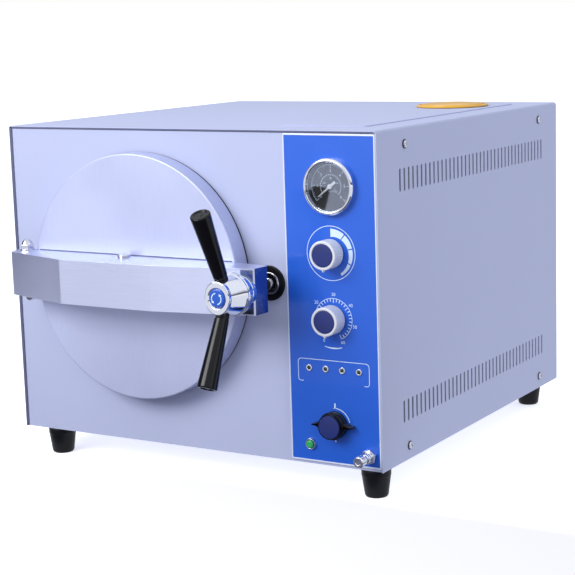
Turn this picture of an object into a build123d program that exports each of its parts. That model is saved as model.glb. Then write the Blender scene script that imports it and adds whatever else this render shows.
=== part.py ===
from build123d import *
from math import acos, copysign, cos, degrees, radians, sin
import os

# Benchtop steam steriliser of the 20 litre class, in millimetres.
# +X is the machine's right, +Y its back and +Z up. The origin lies on the bench,
# under the middle of the whole object with its door shut.

# ---------------------------------------------------------------- driving dimensions
CASE_WIDTH = 480.0
CASE_DEPTH = 480.0
CASE_HEIGHT = 356.0
FOOT_HEIGHT = 30.0
FRONT_Y = -187.0          # face of the front panel
SHEET = 1.2               # cover, rear panel and base
PANEL_THICKNESS = 1.5     # front panel
BASE_Z = FOOT_HEIGHT
TOP_Z = BASE_Z + CASE_HEIGHT

CHAMBER_X = -53.0
CHAMBER_Z = BASE_Z + 193.0
CHAMBER_RADIUS = 125.0
CHAMBER_WALL = 2.5
CHAMBER_STRAIGHT = 400.0  # depth at which the dished end starts
DISH_DEPTH = 40.0
JACKET_RADIUS = 137.5
PANEL_BORE = 131.0         # hole in the front panel, behind the door

DOOR_RADIUS = 136.5
DOOR_FACE = 25.0          # all distances named so are ahead of the front panel
HINGE_X = -197.5
HINGE_AHEAD = 30.0
LOCK_X = 108.2
LOCK_Z = CHAMBER_Z

BAR_HEIGHT = 49.0
BAR_SHEET = 3.0

SPINDLE_RADIUS = 9.0
SPINDLE_CORE = 7.0        # the threaded end, drawn at its core
NUT_ROOT = 8.25           # the lock nut's thread, drawn at its root
GROMMET_BORE = 12.4
GROMMET_NECK = 14.4
GROMMET_RIM = 19.0
FIT = 0.05                # radial running clearance
GAP = 0.3                 # clearance between pieces that move past each other

DIAL_X = 184.5            # the column of dials and knobs
GAUGE_X = 186.0
GAUGE_Z = BASE_Z + 298.4
GAUGE_BORE = 27.0
PRESSURE_Z = BASE_Z + 228.9
TIMER_Z = BASE_Z + 159.5
LAMP_Z = BASE_Z + 105.4
LAMP_PITCH = 20.0
LAMP_BORE = 2.4
BUSH_BORE = 5.5           # hole for a control's bush
SELECTOR_Z = BASE_Z + 46.5
RESET_X = 154.5
RESET_Z = BASE_Z + 22.7
RESET_BORE = 5.6
DRAIN_X = 225.8
DRAIN_Z = BASE_Z + 17.0
DRAIN_BORE = 6.0

FASCIA_LEFT = 131.3
FASCIA_RIGHT = 237.0
FASCIA_BOTTOM = BASE_Z + 5.2
FASCIA_TOP = BASE_Z + 350.5
FASCIA_SHEET = 1.2
TRIM_WIDTH = 1.9
TRIM_SHEET = 1.6

FILLER_X = 148.0
FILLER_DEPTH = 370.0
HATCH_SHEET = 1.0

FRAME_FRONT = PANEL_THICKNESS   # the steel frame behind the front panel
FRAME_BACK = FRAME_FRONT + 8.0
BRACKET_BASE = 4.0              # thickness of the hinge bracket's base

os.makedirs("parts", exist_ok=True)


# ---------------------------------------------------------------- helpers
def ahead(distance):
    """Sketch plane parallel to the front panel: local x is X, local y is Z, normal forward."""
    return Plane.XZ.offset(distance - FRONT_Y)


def level(height):
    """Horizontal sketch plane at a height above the bench, with its origin at the front panel."""
    return Plane(origin=(0, FRONT_Y, height))


def section(x, z):
    """Half section of a turned piece: local x is the radius, local y the depth behind the panel."""
    return Plane(origin=(x, FRONT_Y, z), x_dir=(1, 0, 0), z_dir=(0, 0, 1))


def upright_section(x, depth, base):
    """Half section of a piece turned about an upright axis: local x is the radius, local y the height."""
    return Plane(origin=(x, FRONT_Y + depth, base), x_dir=(1, 0, 0), z_dir=(0, -1, 0))


def turning_axis(x, z):
    """The front-to-back axis that a turned piece is revolved about."""
    return Axis((x, FRONT_Y, z), (0, 1, 0))


def dome(rim, base, rise):
    """Arc of a half section from the rim to the axis, so that it turns into a shallow dome."""
    radius = (rim**2 + rise**2) / (2 * abs(rise))
    start = degrees(acos(rim / radius))
    way = copysign(1, rise)
    return CenterArc((0, base + rise - way * radius), radius, way * start, way * (90 - start))


def save(piece, name):
    """Label a finished piece and write its STEP file."""
    piece.part.label = name
    export_step(piece.part, f"parts/{name}.step")


# ---------------------------------------------------------------- front panel
panel_left = -CASE_WIDTH / 2 + 3.8
panel_right = CASE_WIDTH / 2 - 1.5
panel_bottom = BASE_Z + 0.5
panel_top = TOP_Z - 3.3
lamp_places = [(DIAL_X + (i - 1.5) * LAMP_PITCH, LAMP_Z) for i in range(4)]
bracket_screws = [(HINGE_X - 9.5, CHAMBER_Z - 13), (HINGE_X - 9.5, CHAMBER_Z + 13)]


def control_holes():
    """Cut the holes that the front panel and the fascia share, in the sketch being drawn."""
    with Locations((GAUGE_X, GAUGE_Z)):
        Circle(GAUGE_BORE, mode=Mode.SUBTRACT)
    with Locations((DIAL_X, PRESSURE_Z), (DIAL_X, TIMER_Z), (DIAL_X, SELECTOR_Z)):
        Circle(BUSH_BORE, mode=Mode.SUBTRACT)
    with Locations(*lamp_places):
        Circle(LAMP_BORE, mode=Mode.SUBTRACT)
    with Locations((RESET_X, RESET_Z)):
        Circle(RESET_BORE, mode=Mode.SUBTRACT)
    with Locations((DRAIN_X, DRAIN_Z)):
        Circle(DRAIN_BORE, mode=Mode.SUBTRACT)


with BuildPart() as front_panel:
    with BuildSketch(ahead(0)):
        with Locations(((panel_left + panel_right) / 2, (panel_bottom + panel_top) / 2)):
            Rectangle(panel_right - panel_left, panel_top - panel_bottom)
        with Locations((CHAMBER_X, CHAMBER_Z)):
            Circle(PANEL_BORE, mode=Mode.SUBTRACT)
        with Locations((LOCK_X, LOCK_Z)):
            Circle(GROMMET_NECK, mode=Mode.SUBTRACT)
        control_holes()
        with Locations(*bracket_screws):
            Circle(2.5, mode=Mode.SUBTRACT)
    extrude(amount=-PANEL_THICKNESS)
save(front_panel, "front_panel")


# ---------------------------------------------------------------- control fascia and its trim
fascia_middle = ((FASCIA_LEFT + FASCIA_RIGHT) / 2, (FASCIA_BOTTOM + FASCIA_TOP) / 2)
fascia_width = FASCIA_RIGHT - FASCIA_LEFT
fascia_height = FASCIA_TOP - FASCIA_BOTTOM

with BuildPart() as control_panel:
    with BuildSketch(ahead(0)):
        with Locations(fascia_middle):
            Rectangle(fascia_width, fascia_height)
        control_holes()
    extrude(amount=FASCIA_SHEET)
save(control_panel, "control_panel")

with BuildPart() as fascia_trim:
    with BuildSketch(ahead(0)):
        with Locations(fascia_middle):
            RectangleRounded(fascia_width + 2 * TRIM_WIDTH - 0.6, fascia_height + 2 * TRIM_WIDTH, 1.5)
            Rectangle(fascia_width, fascia_height, mode=Mode.SUBTRACT)
    extrude(amount=TRIM_SHEET)
save(fascia_trim, "fascia_trim")


# ---------------------------------------------------------------- outer cover
SLOT_COUNT = 39
SLOT_PITCH = 10.0
SLOT_LENGTH = 24.4
SLOT_WIDTH = 3.4
SLOT_FIRST_DEPTH = 50.0
SLOT_ROWS = (BASE_Z + 301.2, BASE_Z + 54.5)
SIDE_SCREWS = [(depth, BASE_Z + z) for depth in (61.0, 421.0) for z in (15.0, 338.0)]
COVER_FRONT = 1.0
LEFT_LIP = 3.0
TOP_LIP = 2.5
HATCH_LEFT = 96.0
HATCH_RIGHT = 203.0
HATCH_FRONT = 48.0
HATCH_BACK = 430.0
hatch_middle = ((HATCH_LEFT + HATCH_RIGHT) / 2, (HATCH_FRONT + HATCH_BACK) / 2)
hatch_width = HATCH_RIGHT - HATCH_LEFT
hatch_length = HATCH_BACK - HATCH_FRONT
side_plane = Plane(origin=(0, FRONT_Y, 0), x_dir=(0, 1, 0), z_dir=(1, 0, 0))
slot_middle_depth = SLOT_FIRST_DEPTH + (SLOT_COUNT - 1) * SLOT_PITCH / 2

with BuildPart() as outer_cover:
    with BuildSketch(ahead(COVER_FRONT)):
        with Locations((0, BASE_Z + CASE_HEIGHT / 2)):
            Rectangle(CASE_WIDTH, CASE_HEIGHT)
    extrude(amount=-(CASE_DEPTH + COVER_FRONT))
    fillet(outer_cover.faces().sort_by(Axis.Z)[-1].edges().filter_by(Axis.Y), 3.5)
    with BuildSketch(ahead(COVER_FRONT)):
        with Locations((0, BASE_Z + (CASE_HEIGHT - SHEET) / 2)):
            Rectangle(CASE_WIDTH - 2 * SHEET, CASE_HEIGHT - SHEET)
    extrude(amount=-(CASE_DEPTH + COVER_FRONT), mode=Mode.SUBTRACT)
    with BuildSketch(ahead(COVER_FRONT)):
        with Locations((-CASE_WIDTH / 2 + (SHEET + LEFT_LIP) / 2, BASE_Z + CASE_HEIGHT / 2 - 1)):
            Rectangle(LEFT_LIP - SHEET + 0.4, CASE_HEIGHT - 4)
        with Locations((0, TOP_Z - (SHEET + TOP_LIP) / 2)):
            Rectangle(CASE_WIDTH - 4, TOP_LIP - SHEET + 0.4)
    extrude(amount=-SHEET)
    with BuildSketch(side_plane):
        for row in SLOT_ROWS:
            with Locations((slot_middle_depth, row)):
                with GridLocations(SLOT_PITCH, 1, SLOT_COUNT, 1):
                    SlotOverall(SLOT_LENGTH, SLOT_WIDTH, rotation=90)
        with Locations(*SIDE_SCREWS):
            Circle(2.2)
    extrude(amount=CASE_WIDTH, both=True, mode=Mode.SUBTRACT)
    with BuildSketch(level(TOP_Z)):
        with Locations(hatch_middle):
            RectangleRounded(hatch_width - 6, hatch_length - 6, 4)
    extrude(amount=-4 * SHEET, mode=Mode.SUBTRACT)
save(outer_cover, "outer_cover")

with BuildPart() as tank_hatch:
    with BuildSketch(level(TOP_Z)):
        with Locations(hatch_middle):
            RectangleRounded(hatch_width, hatch_length, 6)
        with Locations((FILLER_X, FILLER_DEPTH)):
            Circle(31.0, mode=Mode.SUBTRACT)
    extrude(amount=HATCH_SHEET)
    with BuildSketch(level(TOP_Z)):
        with Locations(hatch_middle):
            RectangleRounded(hatch_width - 7, hatch_length - 7, 3.5)
            RectangleRounded(hatch_width - 9, hatch_length - 9, 2.5, mode=Mode.SUBTRACT)
    extrude(amount=-8)
save(tank_hatch, "tank_hatch")

with BuildPart() as screws:
    for side in (-1, 1):
        outward = Plane(origin=(side * CASE_WIDTH / 2, FRONT_Y, 0), x_dir=(0, 1, 0), z_dir=(1, 0, 0))
        with BuildSketch(outward):
            with Locations(*SIDE_SCREWS):
                Circle(5.0)
        extrude(amount=side * 0.8)
        with BuildSketch(outward.offset(side * 0.8)):
            with Locations(*SIDE_SCREWS):
                Circle(3.6)
        extrude(amount=side * 2.2)
        with BuildSketch(outward):
            with Locations(*SIDE_SCREWS):
                Circle(2.0)
        extrude(amount=-side * 7)
        with BuildSketch(outward.offset(side * 3.0)):
            with Locations(*SIDE_SCREWS):
                Rectangle(4.4, 0.9)
                Rectangle(0.9, 4.4)
        extrude(amount=-side * 1.2, mode=Mode.SUBTRACT)
    with BuildSketch(ahead(BRACKET_BASE)):
        with Locations(*bracket_screws):
            Circle(4.2)
    extrude(amount=2.2)
    with BuildSketch(ahead(BRACKET_BASE)):
        with Locations(*bracket_screws):
            Circle(2.5)
    extrude(amount=-BRACKET_BASE - FRAME_BACK)
save(screws, "screws")


# ---------------------------------------------------------------- base, rear panel and feet
INNER_HALF = CASE_WIDTH / 2 - SHEET
FLANGE_HEIGHT = 20.0
FEET = [(-198.0, 14.0), (224.0, 14.0), (-198.0, 452.0), (212.0, 452.0)]
INLET = (168.0, BASE_Z + 48.0)
RELIEF = (CHAMBER_X + 40.0, BASE_Z + 290.0)
EXHAUST = (100.0, BASE_Z + 40.0)

with BuildPart() as base_tray:
    with BuildSketch(level(BASE_Z)):
        with Locations((0, CASE_DEPTH / 2)):
            Rectangle(2 * INNER_HALF, CASE_DEPTH - 2 * PANEL_THICKNESS)
    extrude(amount=PANEL_THICKNESS + FLANGE_HEIGHT)
    with BuildSketch(level(BASE_Z + PANEL_THICKNESS)):
        with Locations((0, CASE_DEPTH / 2)):
            Rectangle(2 * INNER_HALF - 2 * SHEET, CASE_DEPTH - 2 * PANEL_THICKNESS - 2 * SHEET)
    extrude(amount=FLANGE_HEIGHT, mode=Mode.SUBTRACT)
    with BuildSketch(level(BASE_Z)):
        with Locations((CHAMBER_X, CASE_DEPTH / 2)):
            with GridLocations(14, 250, 12, 2):
                SlotOverall(60, 5, rotation=90)
        with Locations(*FEET):
            Circle(3.0)
    extrude(amount=PANEL_THICKNESS, mode=Mode.SUBTRACT)
    with BuildSketch(side_plane):
        with Locations(*SIDE_SCREWS):
            Circle(2.0)
    extrude(amount=CASE_WIDTH, both=True, mode=Mode.SUBTRACT)
    with BuildSketch(ahead(0)):
        with Locations((RESET_X, RESET_Z), (DRAIN_X, DRAIN_Z)):
            Circle(7.0)
    extrude(amount=-10, mode=Mode.SUBTRACT)
save(base_tray, "base_tray")

with BuildPart() as rear_panel:
    with BuildSketch(ahead(-CASE_DEPTH)):
        with Locations((0, BASE_Z + (CASE_HEIGHT - SHEET) / 2)):
            Rectangle(2 * INNER_HALF, CASE_HEIGHT - SHEET)
        with Locations(INLET):
            Rectangle(28.6, 28.6, mode=Mode.SUBTRACT)
        with Locations(RELIEF):
            Circle(8.5, mode=Mode.SUBTRACT)
        with Locations(EXHAUST):
            Circle(6.5, mode=Mode.SUBTRACT)
        with Locations((-120, BASE_Z + 60)):
            with GridLocations(10, 1, 16, 1):
                SlotOverall(50, 4, rotation=90, mode=Mode.SUBTRACT)
    extrude(amount=PANEL_THICKNESS)
save(rear_panel, "rear_panel")

with BuildPart() as feet:
    for foot_x, foot_depth in FEET:
        with BuildSketch(upright_section(foot_x, foot_depth, 0)):
            with BuildLine():
                Polyline(
                    (5, FOOT_HEIGHT),
                    (16, FOOT_HEIGHT),
                    (15.6, 23),
                    (12.6, 2.4),
                    (11, 0),
                    (5, 0),
                    close=True,
                )
            make_face()
        revolve(axis=Axis((foot_x, FRONT_Y + foot_depth, 0), (0, 0, 1)))
save(feet, "feet")


# ---------------------------------------------------------------- pressure vessel
FLANGE_FACE = 3.0
VESSEL_FRONT = 12.0

with BuildPart() as front_frame:
    with BuildSketch(ahead(-FRAME_FRONT)):
        with Locations(((HINGE_X + LOCK_X) / 2, CHAMBER_Z)):
            Rectangle(LOCK_X - HINGE_X + 46, 76)
        with Locations((CHAMBER_X, CHAMBER_Z)):
            Circle(140.0)
            Circle(130.5, mode=Mode.SUBTRACT)
        with Locations((LOCK_X, LOCK_Z)):
            Circle(12.0, mode=Mode.SUBTRACT)
        with Locations(*bracket_screws):
            Circle(2.5, mode=Mode.SUBTRACT)
    extrude(amount=-(FRAME_BACK - FRAME_FRONT))
save(front_frame, "front_frame")

with BuildPart() as chamber_flange:
    with BuildSketch(section(CHAMBER_X, CHAMBER_Z)):
        with BuildLine():
            Polyline(
                (122.0, -FLANGE_FACE),
                (130.5, -FLANGE_FACE),
                (130.5, FRAME_BACK),
                (134.0, FRAME_BACK),
                (134.0, VESSEL_FRONT),
                (122.0, VESSEL_FRONT),
                close=True,
            )
        make_face()
    revolve(axis=turning_axis(CHAMBER_X, CHAMBER_Z))
save(chamber_flange, "chamber_flange")

STEAM_PORT = (CHAMBER_X + 40.0, BASE_Z + 250.0)
PORT_END = 450.0
outer_radius = CHAMBER_RADIUS + CHAMBER_WALL

with BuildPart() as chamber_vessel:
    with BuildSketch(section(CHAMBER_X, CHAMBER_Z)):
        with BuildLine():
            Line((CHAMBER_RADIUS, VESSEL_FRONT), (outer_radius, VESSEL_FRONT))
            Line((outer_radius, VESSEL_FRONT), (outer_radius, CHAMBER_STRAIGHT))
            EllipticalCenterArc((0, CHAMBER_STRAIGHT), outer_radius, DISH_DEPTH + CHAMBER_WALL, arc_size=90)
            Line((0, CHAMBER_STRAIGHT + DISH_DEPTH + CHAMBER_WALL), (0, CHAMBER_STRAIGHT + DISH_DEPTH))
            EllipticalCenterArc((0, CHAMBER_STRAIGHT), CHAMBER_RADIUS, DISH_DEPTH, arc_size=90)
            Line((CHAMBER_RADIUS, CHAMBER_STRAIGHT), (CHAMBER_RADIUS, VESSEL_FRONT))
        make_face()
    revolve(axis=turning_axis(CHAMBER_X, CHAMBER_Z))
    with BuildSketch(ahead(-PORT_END)):
        with Locations(STEAM_PORT):
            Circle(8.0)
    extrude(amount=18)
    with BuildSketch(ahead(-PORT_END)):
        with Locations(STEAM_PORT):
            Circle(3.0)
    extrude(amount=40, mode=Mode.SUBTRACT)
save(chamber_vessel, "chamber_vessel")

with BuildPart() as insulation_jacket:
    with BuildSketch(ahead(-VESSEL_FRONT - 6)):
        with Locations((CHAMBER_X, CHAMBER_Z)):
            Circle(JACKET_RADIUS)
            Circle(outer_radius, mode=Mode.SUBTRACT)
    extrude(amount=-(CHAMBER_STRAIGHT - VESSEL_FRONT - 10))
save(insulation_jacket, "insulation_jacket")

with BuildPart() as vessel_saddles:
    for saddle_depth in (80.0, 330.0):
        floor = BASE_Z + PANEL_THICKNESS
        saddle_top = CHAMBER_Z - 95
        with BuildSketch(ahead(-saddle_depth)):
            with Locations((CHAMBER_X, (floor + saddle_top) / 2)):
                Rectangle(230, saddle_top - floor)
            with Locations((CHAMBER_X, CHAMBER_Z)):
                Circle(JACKET_RADIUS, mode=Mode.SUBTRACT)
        extrude(amount=-3)
        with BuildSketch(level(floor)):
            with Locations((CHAMBER_X, saddle_depth + 12)):
                Rectangle(230, 18)
        extrude(amount=3)
save(vessel_saddles, "vessel_saddles")


# ---------------------------------------------------------------- inside the chamber
HEATER_DROP = 112.0
HEATER_RADIUS = 4.5
TRAY_COUNT = 3
TRAY_PITCH = 56.0
TRAY_WIDTH = 190.0
TRAY_LENGTH = 330.0
TRAY_DEPTH = 14.0
TRAY_SHEET = 1.0
TRAY_FRONT = 40.0
tray_floors = [CHAMBER_Z - 62 + i * TRAY_PITCH for i in range(TRAY_COUNT)]

heater_z = CHAMBER_Z - HEATER_DROP
with BuildPart() as heater_tube:
    with BuildLine() as heater_line:
        FilletPolyline(
            (CHAMBER_X - 36, FRONT_Y + 395, heater_z),
            (CHAMBER_X - 36, FRONT_Y + 60, heater_z),
            (CHAMBER_X + 36, FRONT_Y + 60, heater_z),
            (CHAMBER_X + 36, FRONT_Y + 395, heater_z),
            radius=34,
        )
    with BuildSketch(Plane(origin=(CHAMBER_X - 36, FRONT_Y + 395, heater_z), z_dir=(0, -1, 0))):
        Circle(HEATER_RADIUS)
    sweep()
save(heater_tube, "heater_tube")

RAIL_OUT = TRAY_WIDTH / 2 + 6
with BuildPart() as tray_rack:
    for side in (-1, 1):
        for rail_z in tray_floors:
            with BuildSketch(ahead(-TRAY_FRONT)):
                with Locations((CHAMBER_X + side * (RAIL_OUT - 7), rail_z - 0.6)):
                    Rectangle(15.2, 1.2)
            extrude(amount=-TRAY_LENGTH - 10)
        for post_depth in (TRAY_FRONT + 20, TRAY_FRONT + TRAY_LENGTH - 30):
            with BuildSketch(ahead(-post_depth)):
                with Locations((CHAMBER_X + side * (RAIL_OUT + 1.2), CHAMBER_Z - 2)):
                    Rectangle(2.4, 124)
            extrude(amount=-14)
    for tie_depth in (TRAY_FRONT + 20, TRAY_FRONT + TRAY_LENGTH - 30):
        with BuildSketch(ahead(-tie_depth)):
            with Locations((CHAMBER_X, CHAMBER_Z - 65)):
                Rectangle(2 * RAIL_OUT + 4.8, 2.0)
        extrude(amount=-14)
save(tray_rack, "tray_rack")

with BuildPart() as trays:
    for tray_z in tray_floors:
        with BuildSketch(level(tray_z)):
            with Locations((CHAMBER_X, TRAY_FRONT + TRAY_LENGTH / 2)):
                RectangleRounded(TRAY_WIDTH, TRAY_LENGTH, 10)
        extrude(amount=TRAY_DEPTH)
        with BuildSketch(level(tray_z + TRAY_SHEET)):
            with Locations((CHAMBER_X, TRAY_FRONT + TRAY_LENGTH / 2)):
                RectangleRounded(TRAY_WIDTH - 2 * TRAY_SHEET, TRAY_LENGTH - 2 * TRAY_SHEET, 9)
        extrude(amount=TRAY_DEPTH, mode=Mode.SUBTRACT)
        with BuildSketch(level(tray_z)):
            with Locations((CHAMBER_X, TRAY_FRONT + TRAY_LENGTH / 2)):
                with GridLocations(40, 36, 4, 8):
                    SlotOverall(26, 5)
        extrude(amount=TRAY_SHEET, mode=Mode.SUBTRACT)
save(trays, "trays")


# ---------------------------------------------------------------- water tank and its cap
TANK_WALL = 3.0
TANK_BOTTOM = BASE_Z + 264.0
TANK_TOP = BASE_Z + 338.0
TANK_FRONT = 140.0
TANK_BACK = 428.0
TANK_LEFT = 98.0
TANK_RIGHT = 201.0
NECK_RADIUS = 30.0
NECK_BORE = 27.0
tank_width = TANK_RIGHT - TANK_LEFT
tank_length = TANK_BACK - TANK_FRONT
tank_middle = ((TANK_LEFT + TANK_RIGHT) / 2, (TANK_FRONT + TANK_BACK) / 2)

with BuildPart() as water_tank:
    with BuildSketch(level(TANK_BOTTOM)):
        with Locations(tank_middle):
            RectangleRounded(tank_width, tank_length, 10)
    extrude(amount=TANK_TOP - TANK_BOTTOM)
    with BuildSketch(level(TANK_TOP)):
        with Locations((FILLER_X, FILLER_DEPTH)):
            Circle(NECK_RADIUS)
    extrude(amount=TOP_Z + HATCH_SHEET - TANK_TOP)
    with BuildSketch(level(TANK_BOTTOM + TANK_WALL)):
        with Locations(tank_middle):
            RectangleRounded(tank_width - 2 * TANK_WALL, tank_length - 2 * TANK_WALL, 7)
    extrude(amount=TANK_TOP - TANK_BOTTOM - 2 * TANK_WALL, mode=Mode.SUBTRACT)
    with BuildSketch(level(TANK_TOP - 2 * TANK_WALL)):
        with Locations((FILLER_X, FILLER_DEPTH)):
            Circle(NECK_BORE)
    extrude(amount=TOP_Z + 20 - TANK_TOP, mode=Mode.SUBTRACT)
save(water_tank, "water_tank")

with BuildPart() as tank_bracket:
    with BuildSketch(level(TANK_BOTTOM)):
        with Locations((tank_middle[0], tank_middle[1] - 100), (tank_middle[0], tank_middle[1] + 100)):
            Rectangle(tank_width + 4, 24)
    extrude(amount=-2)
    for strap_depth in (tank_middle[1] - 100, tank_middle[1] + 100):
        with BuildSketch(level(TANK_BOTTOM - 2)):
            with Locations((TANK_RIGHT + 3, strap_depth)):
                Rectangle(2, 24)
        extrude(amount=TOP_Z - SHEET - TANK_BOTTOM + 2)
        with BuildSketch(level(TANK_BOTTOM - 2)):
            with Locations((TANK_LEFT - 3, strap_depth)):
                Rectangle(2, 24)
        extrude(amount=TOP_Z - SHEET - TANK_BOTTOM + 2)
save(tank_bracket, "tank_bracket")

CAP_RADIUS = 44.0
cap_base = TOP_Z + HATCH_SHEET + GAP
with BuildPart() as filler_cap:
    with BuildSketch(upright_section(FILLER_X, FILLER_DEPTH, cap_base)):
        with BuildLine():
            Polyline(
                (0, 0),
                (23.5, 0),
                (23.5, -14),
                (26.2, -14),
                (26.2, 0),
                (CAP_RADIUS - 0.8, 0),
                (CAP_RADIUS, 0.8),
                (CAP_RADIUS, 1.8),
                (CAP_RADIUS - 0.8, 2.6),
                (38, 2.6),
            )
            dome(38, 2.6, 2.6)
            Line((0, 5.2), (0, 0))
        make_face()
    revolve(axis=Axis((FILLER_X, FRONT_Y + FILLER_DEPTH, 0), (0, 0, 1)))
save(filler_cap, "filler_cap")


# ---------------------------------------------------------------- plumbing and rear fittings
PIPE_RADIUS = 4.0
GAUGE_STEM_END = 58.0
TURN_BACK = 466.0
TURN_FRONT = 96.0

with BuildPart() as steam_pipe:
    with BuildLine() as pipe_line:
        FilletPolyline(
            (STEAM_PORT[0], FRONT_Y + PORT_END, STEAM_PORT[1]),
            (STEAM_PORT[0], FRONT_Y + TURN_BACK, STEAM_PORT[1]),
            (GAUGE_X, FRONT_Y + TURN_BACK, STEAM_PORT[1]),
            (GAUGE_X, FRONT_Y + TURN_FRONT, STEAM_PORT[1]),
            (GAUGE_X, FRONT_Y + TURN_FRONT, GAUGE_Z),
            (GAUGE_X, FRONT_Y + GAUGE_STEM_END, GAUGE_Z),
            radius=10,
        )
    with BuildSketch(Plane(origin=(STEAM_PORT[0], FRONT_Y + PORT_END, STEAM_PORT[1]), z_dir=(0, 1, 0))):
        Circle(PIPE_RADIUS)
        Circle(PIPE_RADIUS - 1, mode=Mode.SUBTRACT)
    sweep()
save(steam_pipe, "steam_pipe")

with BuildPart() as exhaust_spigot:
    with BuildSketch(section(*EXHAUST)):
        with BuildLine():
            Polyline(
                (3, 440),
                (6, 440),
                (6, CASE_DEPTH - PANEL_THICKNESS),
                (6, CASE_DEPTH),
                (9, CASE_DEPTH),
                (9, CASE_DEPTH + 4),
                (5, CASE_DEPTH + 4),
                (5, CASE_DEPTH + 16),
                (4.2, CASE_DEPTH + 17),
                (3, CASE_DEPTH + 17),
                close=True,
            )
        make_face()
    revolve(axis=turning_axis(*EXHAUST))
save(exhaust_spigot, "exhaust_spigot")

with BuildPart() as power_inlet:
    with BuildSketch(ahead(-CASE_DEPTH)):
        with Locations(INLET):
            RectangleRounded(50, 36, 5)
    extrude(amount=-3)
    with BuildSketch(ahead(-CASE_DEPTH)):
        with Locations(INLET):
            Rectangle(28, 28)
    extrude(amount=24)
    with BuildSketch(ahead(-CASE_DEPTH - 3)):
        with Locations(INLET):
            Rectangle(24.4, 16.6)
    extrude(amount=17, mode=Mode.SUBTRACT)
    with BuildSketch(ahead(-CASE_DEPTH + 14)):
        with Locations((INLET[0] - 7, INLET[1] - 2), (INLET[0] + 7, INLET[1] - 2), (INLET[0], INLET[1] + 2)):
            Rectangle(2, 4)
    extrude(amount=-6)
save(power_inlet, "power_inlet")

RELIEF_BODY_END = CASE_DEPTH + 12.0
with BuildPart() as safety_valve:
    with BuildSketch(ahead(-CASE_DEPTH)):
        with Locations(RELIEF):
            RegularPolygon(11, 6)
    extrude(amount=-6)
    with BuildSketch(section(*RELIEF)):
        with BuildLine():
            Polyline(
                (2.3, 452),
                (8, 452),
                (8, CASE_DEPTH + 6),
                (9, CASE_DEPTH + 6),
                (9, RELIEF_BODY_END - 1),
                (8, RELIEF_BODY_END),
                (2.3, RELIEF_BODY_END),
                close=True,
            )
        make_face()
    revolve(axis=turning_axis(*RELIEF))
    with BuildSketch(ahead(-452)):
        with Locations(RELIEF):
            Circle(2.3)
    extrude(amount=-(RELIEF_BODY_END - 452), mode=Mode.SUBTRACT)
save(safety_valve, "safety_valve")

with BuildPart() as relief_ring:
    with BuildSketch(ahead(-RELIEF_BODY_END + 20)):
        with Locations(RELIEF):
            Circle(2.0)
    extrude(amount=-25)
    ring_centre = (RELIEF[0], FRONT_Y + RELIEF_BODY_END + 13, RELIEF[1])
    with BuildSketch(Plane(origin=(RELIEF[0], FRONT_Y + RELIEF_BODY_END + 4.4, RELIEF[1]), z_dir=(0, 0, 1))):
        Circle(1.2)
    revolve(axis=Axis(ring_centre, (1, 0, 0)))
save(relief_ring, "relief_ring")


# ---------------------------------------------------------------- pressure gauge
BEZEL_AHEAD = 9.0
POINTER_AHEAD = 2.6
POINTER_REST = 218.0      # degrees from +X, counter-clockwise seen from the front

with BuildPart() as gauge_case:
    with BuildSketch(section(GAUGE_X, GAUGE_Z)):
        with BuildLine():
            Polyline(
                (0, 4),
                (24.6, 4),
                (24.6, -FASCIA_SHEET),
                (26.9, -FASCIA_SHEET),
                (26.9, 30),
                (12, 34),
                (5, 34),
                (5, GAUGE_STEM_END),
                (0, GAUGE_STEM_END),
                close=True,
            )
        make_face()
    revolve(axis=turning_axis(GAUGE_X, GAUGE_Z))
    with BuildSketch(ahead(-4)):
        with Locations((GAUGE_X, GAUGE_Z)):
            Circle(1.5)
    extrude(amount=-6, mode=Mode.SUBTRACT)
save(gauge_case, "gauge_case")

with BuildPart() as gauge_bezel:
    with BuildSketch(section(GAUGE_X, GAUGE_Z)):
        with BuildLine():
            Polyline(
                (25.4, -BEZEL_AHEAD + 1.2),
                (26.4, -BEZEL_AHEAD),
                (28.2, -BEZEL_AHEAD),
                (29.6, -BEZEL_AHEAD + 1.6),
                (29.6, -FASCIA_SHEET),
                (25.4, -FASCIA_SHEET),
                close=True,
            )
        make_face()
    revolve(axis=turning_axis(GAUGE_X, GAUGE_Z))
save(gauge_bezel, "gauge_bezel")

with BuildPart() as gauge_dial:
    with BuildSketch(ahead(0)):
        with Locations((GAUGE_X, GAUGE_Z)):
            Circle(24.6)
            Circle(1.5, mode=Mode.SUBTRACT)
    extrude(amount=0.6)
save(gauge_dial, "gauge_dial")

with BuildPart() as gauge_glass:
    with BuildSketch(ahead(BEZEL_AHEAD - 3.4)):
        with Locations((GAUGE_X, GAUGE_Z)):
            Circle(25.4)
    extrude(amount=1.5)
save(gauge_glass, "gauge_glass")

with BuildPart() as gauge_pointer:
    pointer_way = Vector(cos(radians(POINTER_REST)), 0, sin(radians(POINTER_REST)))
    pointer_origin = (GAUGE_X, FRONT_Y - POINTER_AHEAD, GAUGE_Z)
    with BuildSketch(Plane(origin=pointer_origin, x_dir=pointer_way, z_dir=(0, -1, 0))):
        with BuildLine():
            Polyline(
                (-8, -1.6),
                (0, -1.1),
                (18, -0.35),
                (18, 0.35),
                (0, 1.1),
                (-8, 1.6),
                close=True,
            )
        make_face()
        Circle(2.4)
    extrude(amount=0.5)
    with BuildSketch(ahead(POINTER_AHEAD)):
        with Locations((GAUGE_X, GAUGE_Z)):
            Circle(1.1)
    extrude(amount=-POINTER_AHEAD - 8)
save(gauge_pointer, "gauge_pointer")


# ---------------------------------------------------------------- control knobs
KNOB_AHEAD = 20.0
KNOB_RADIUS = 15.4
KNOB_BACK = 2.4
SHAFT_RADIUS = 3.0
SHAFT_END = 14.0
CAP_DISC = 12.0
FLUTES = 36


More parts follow.
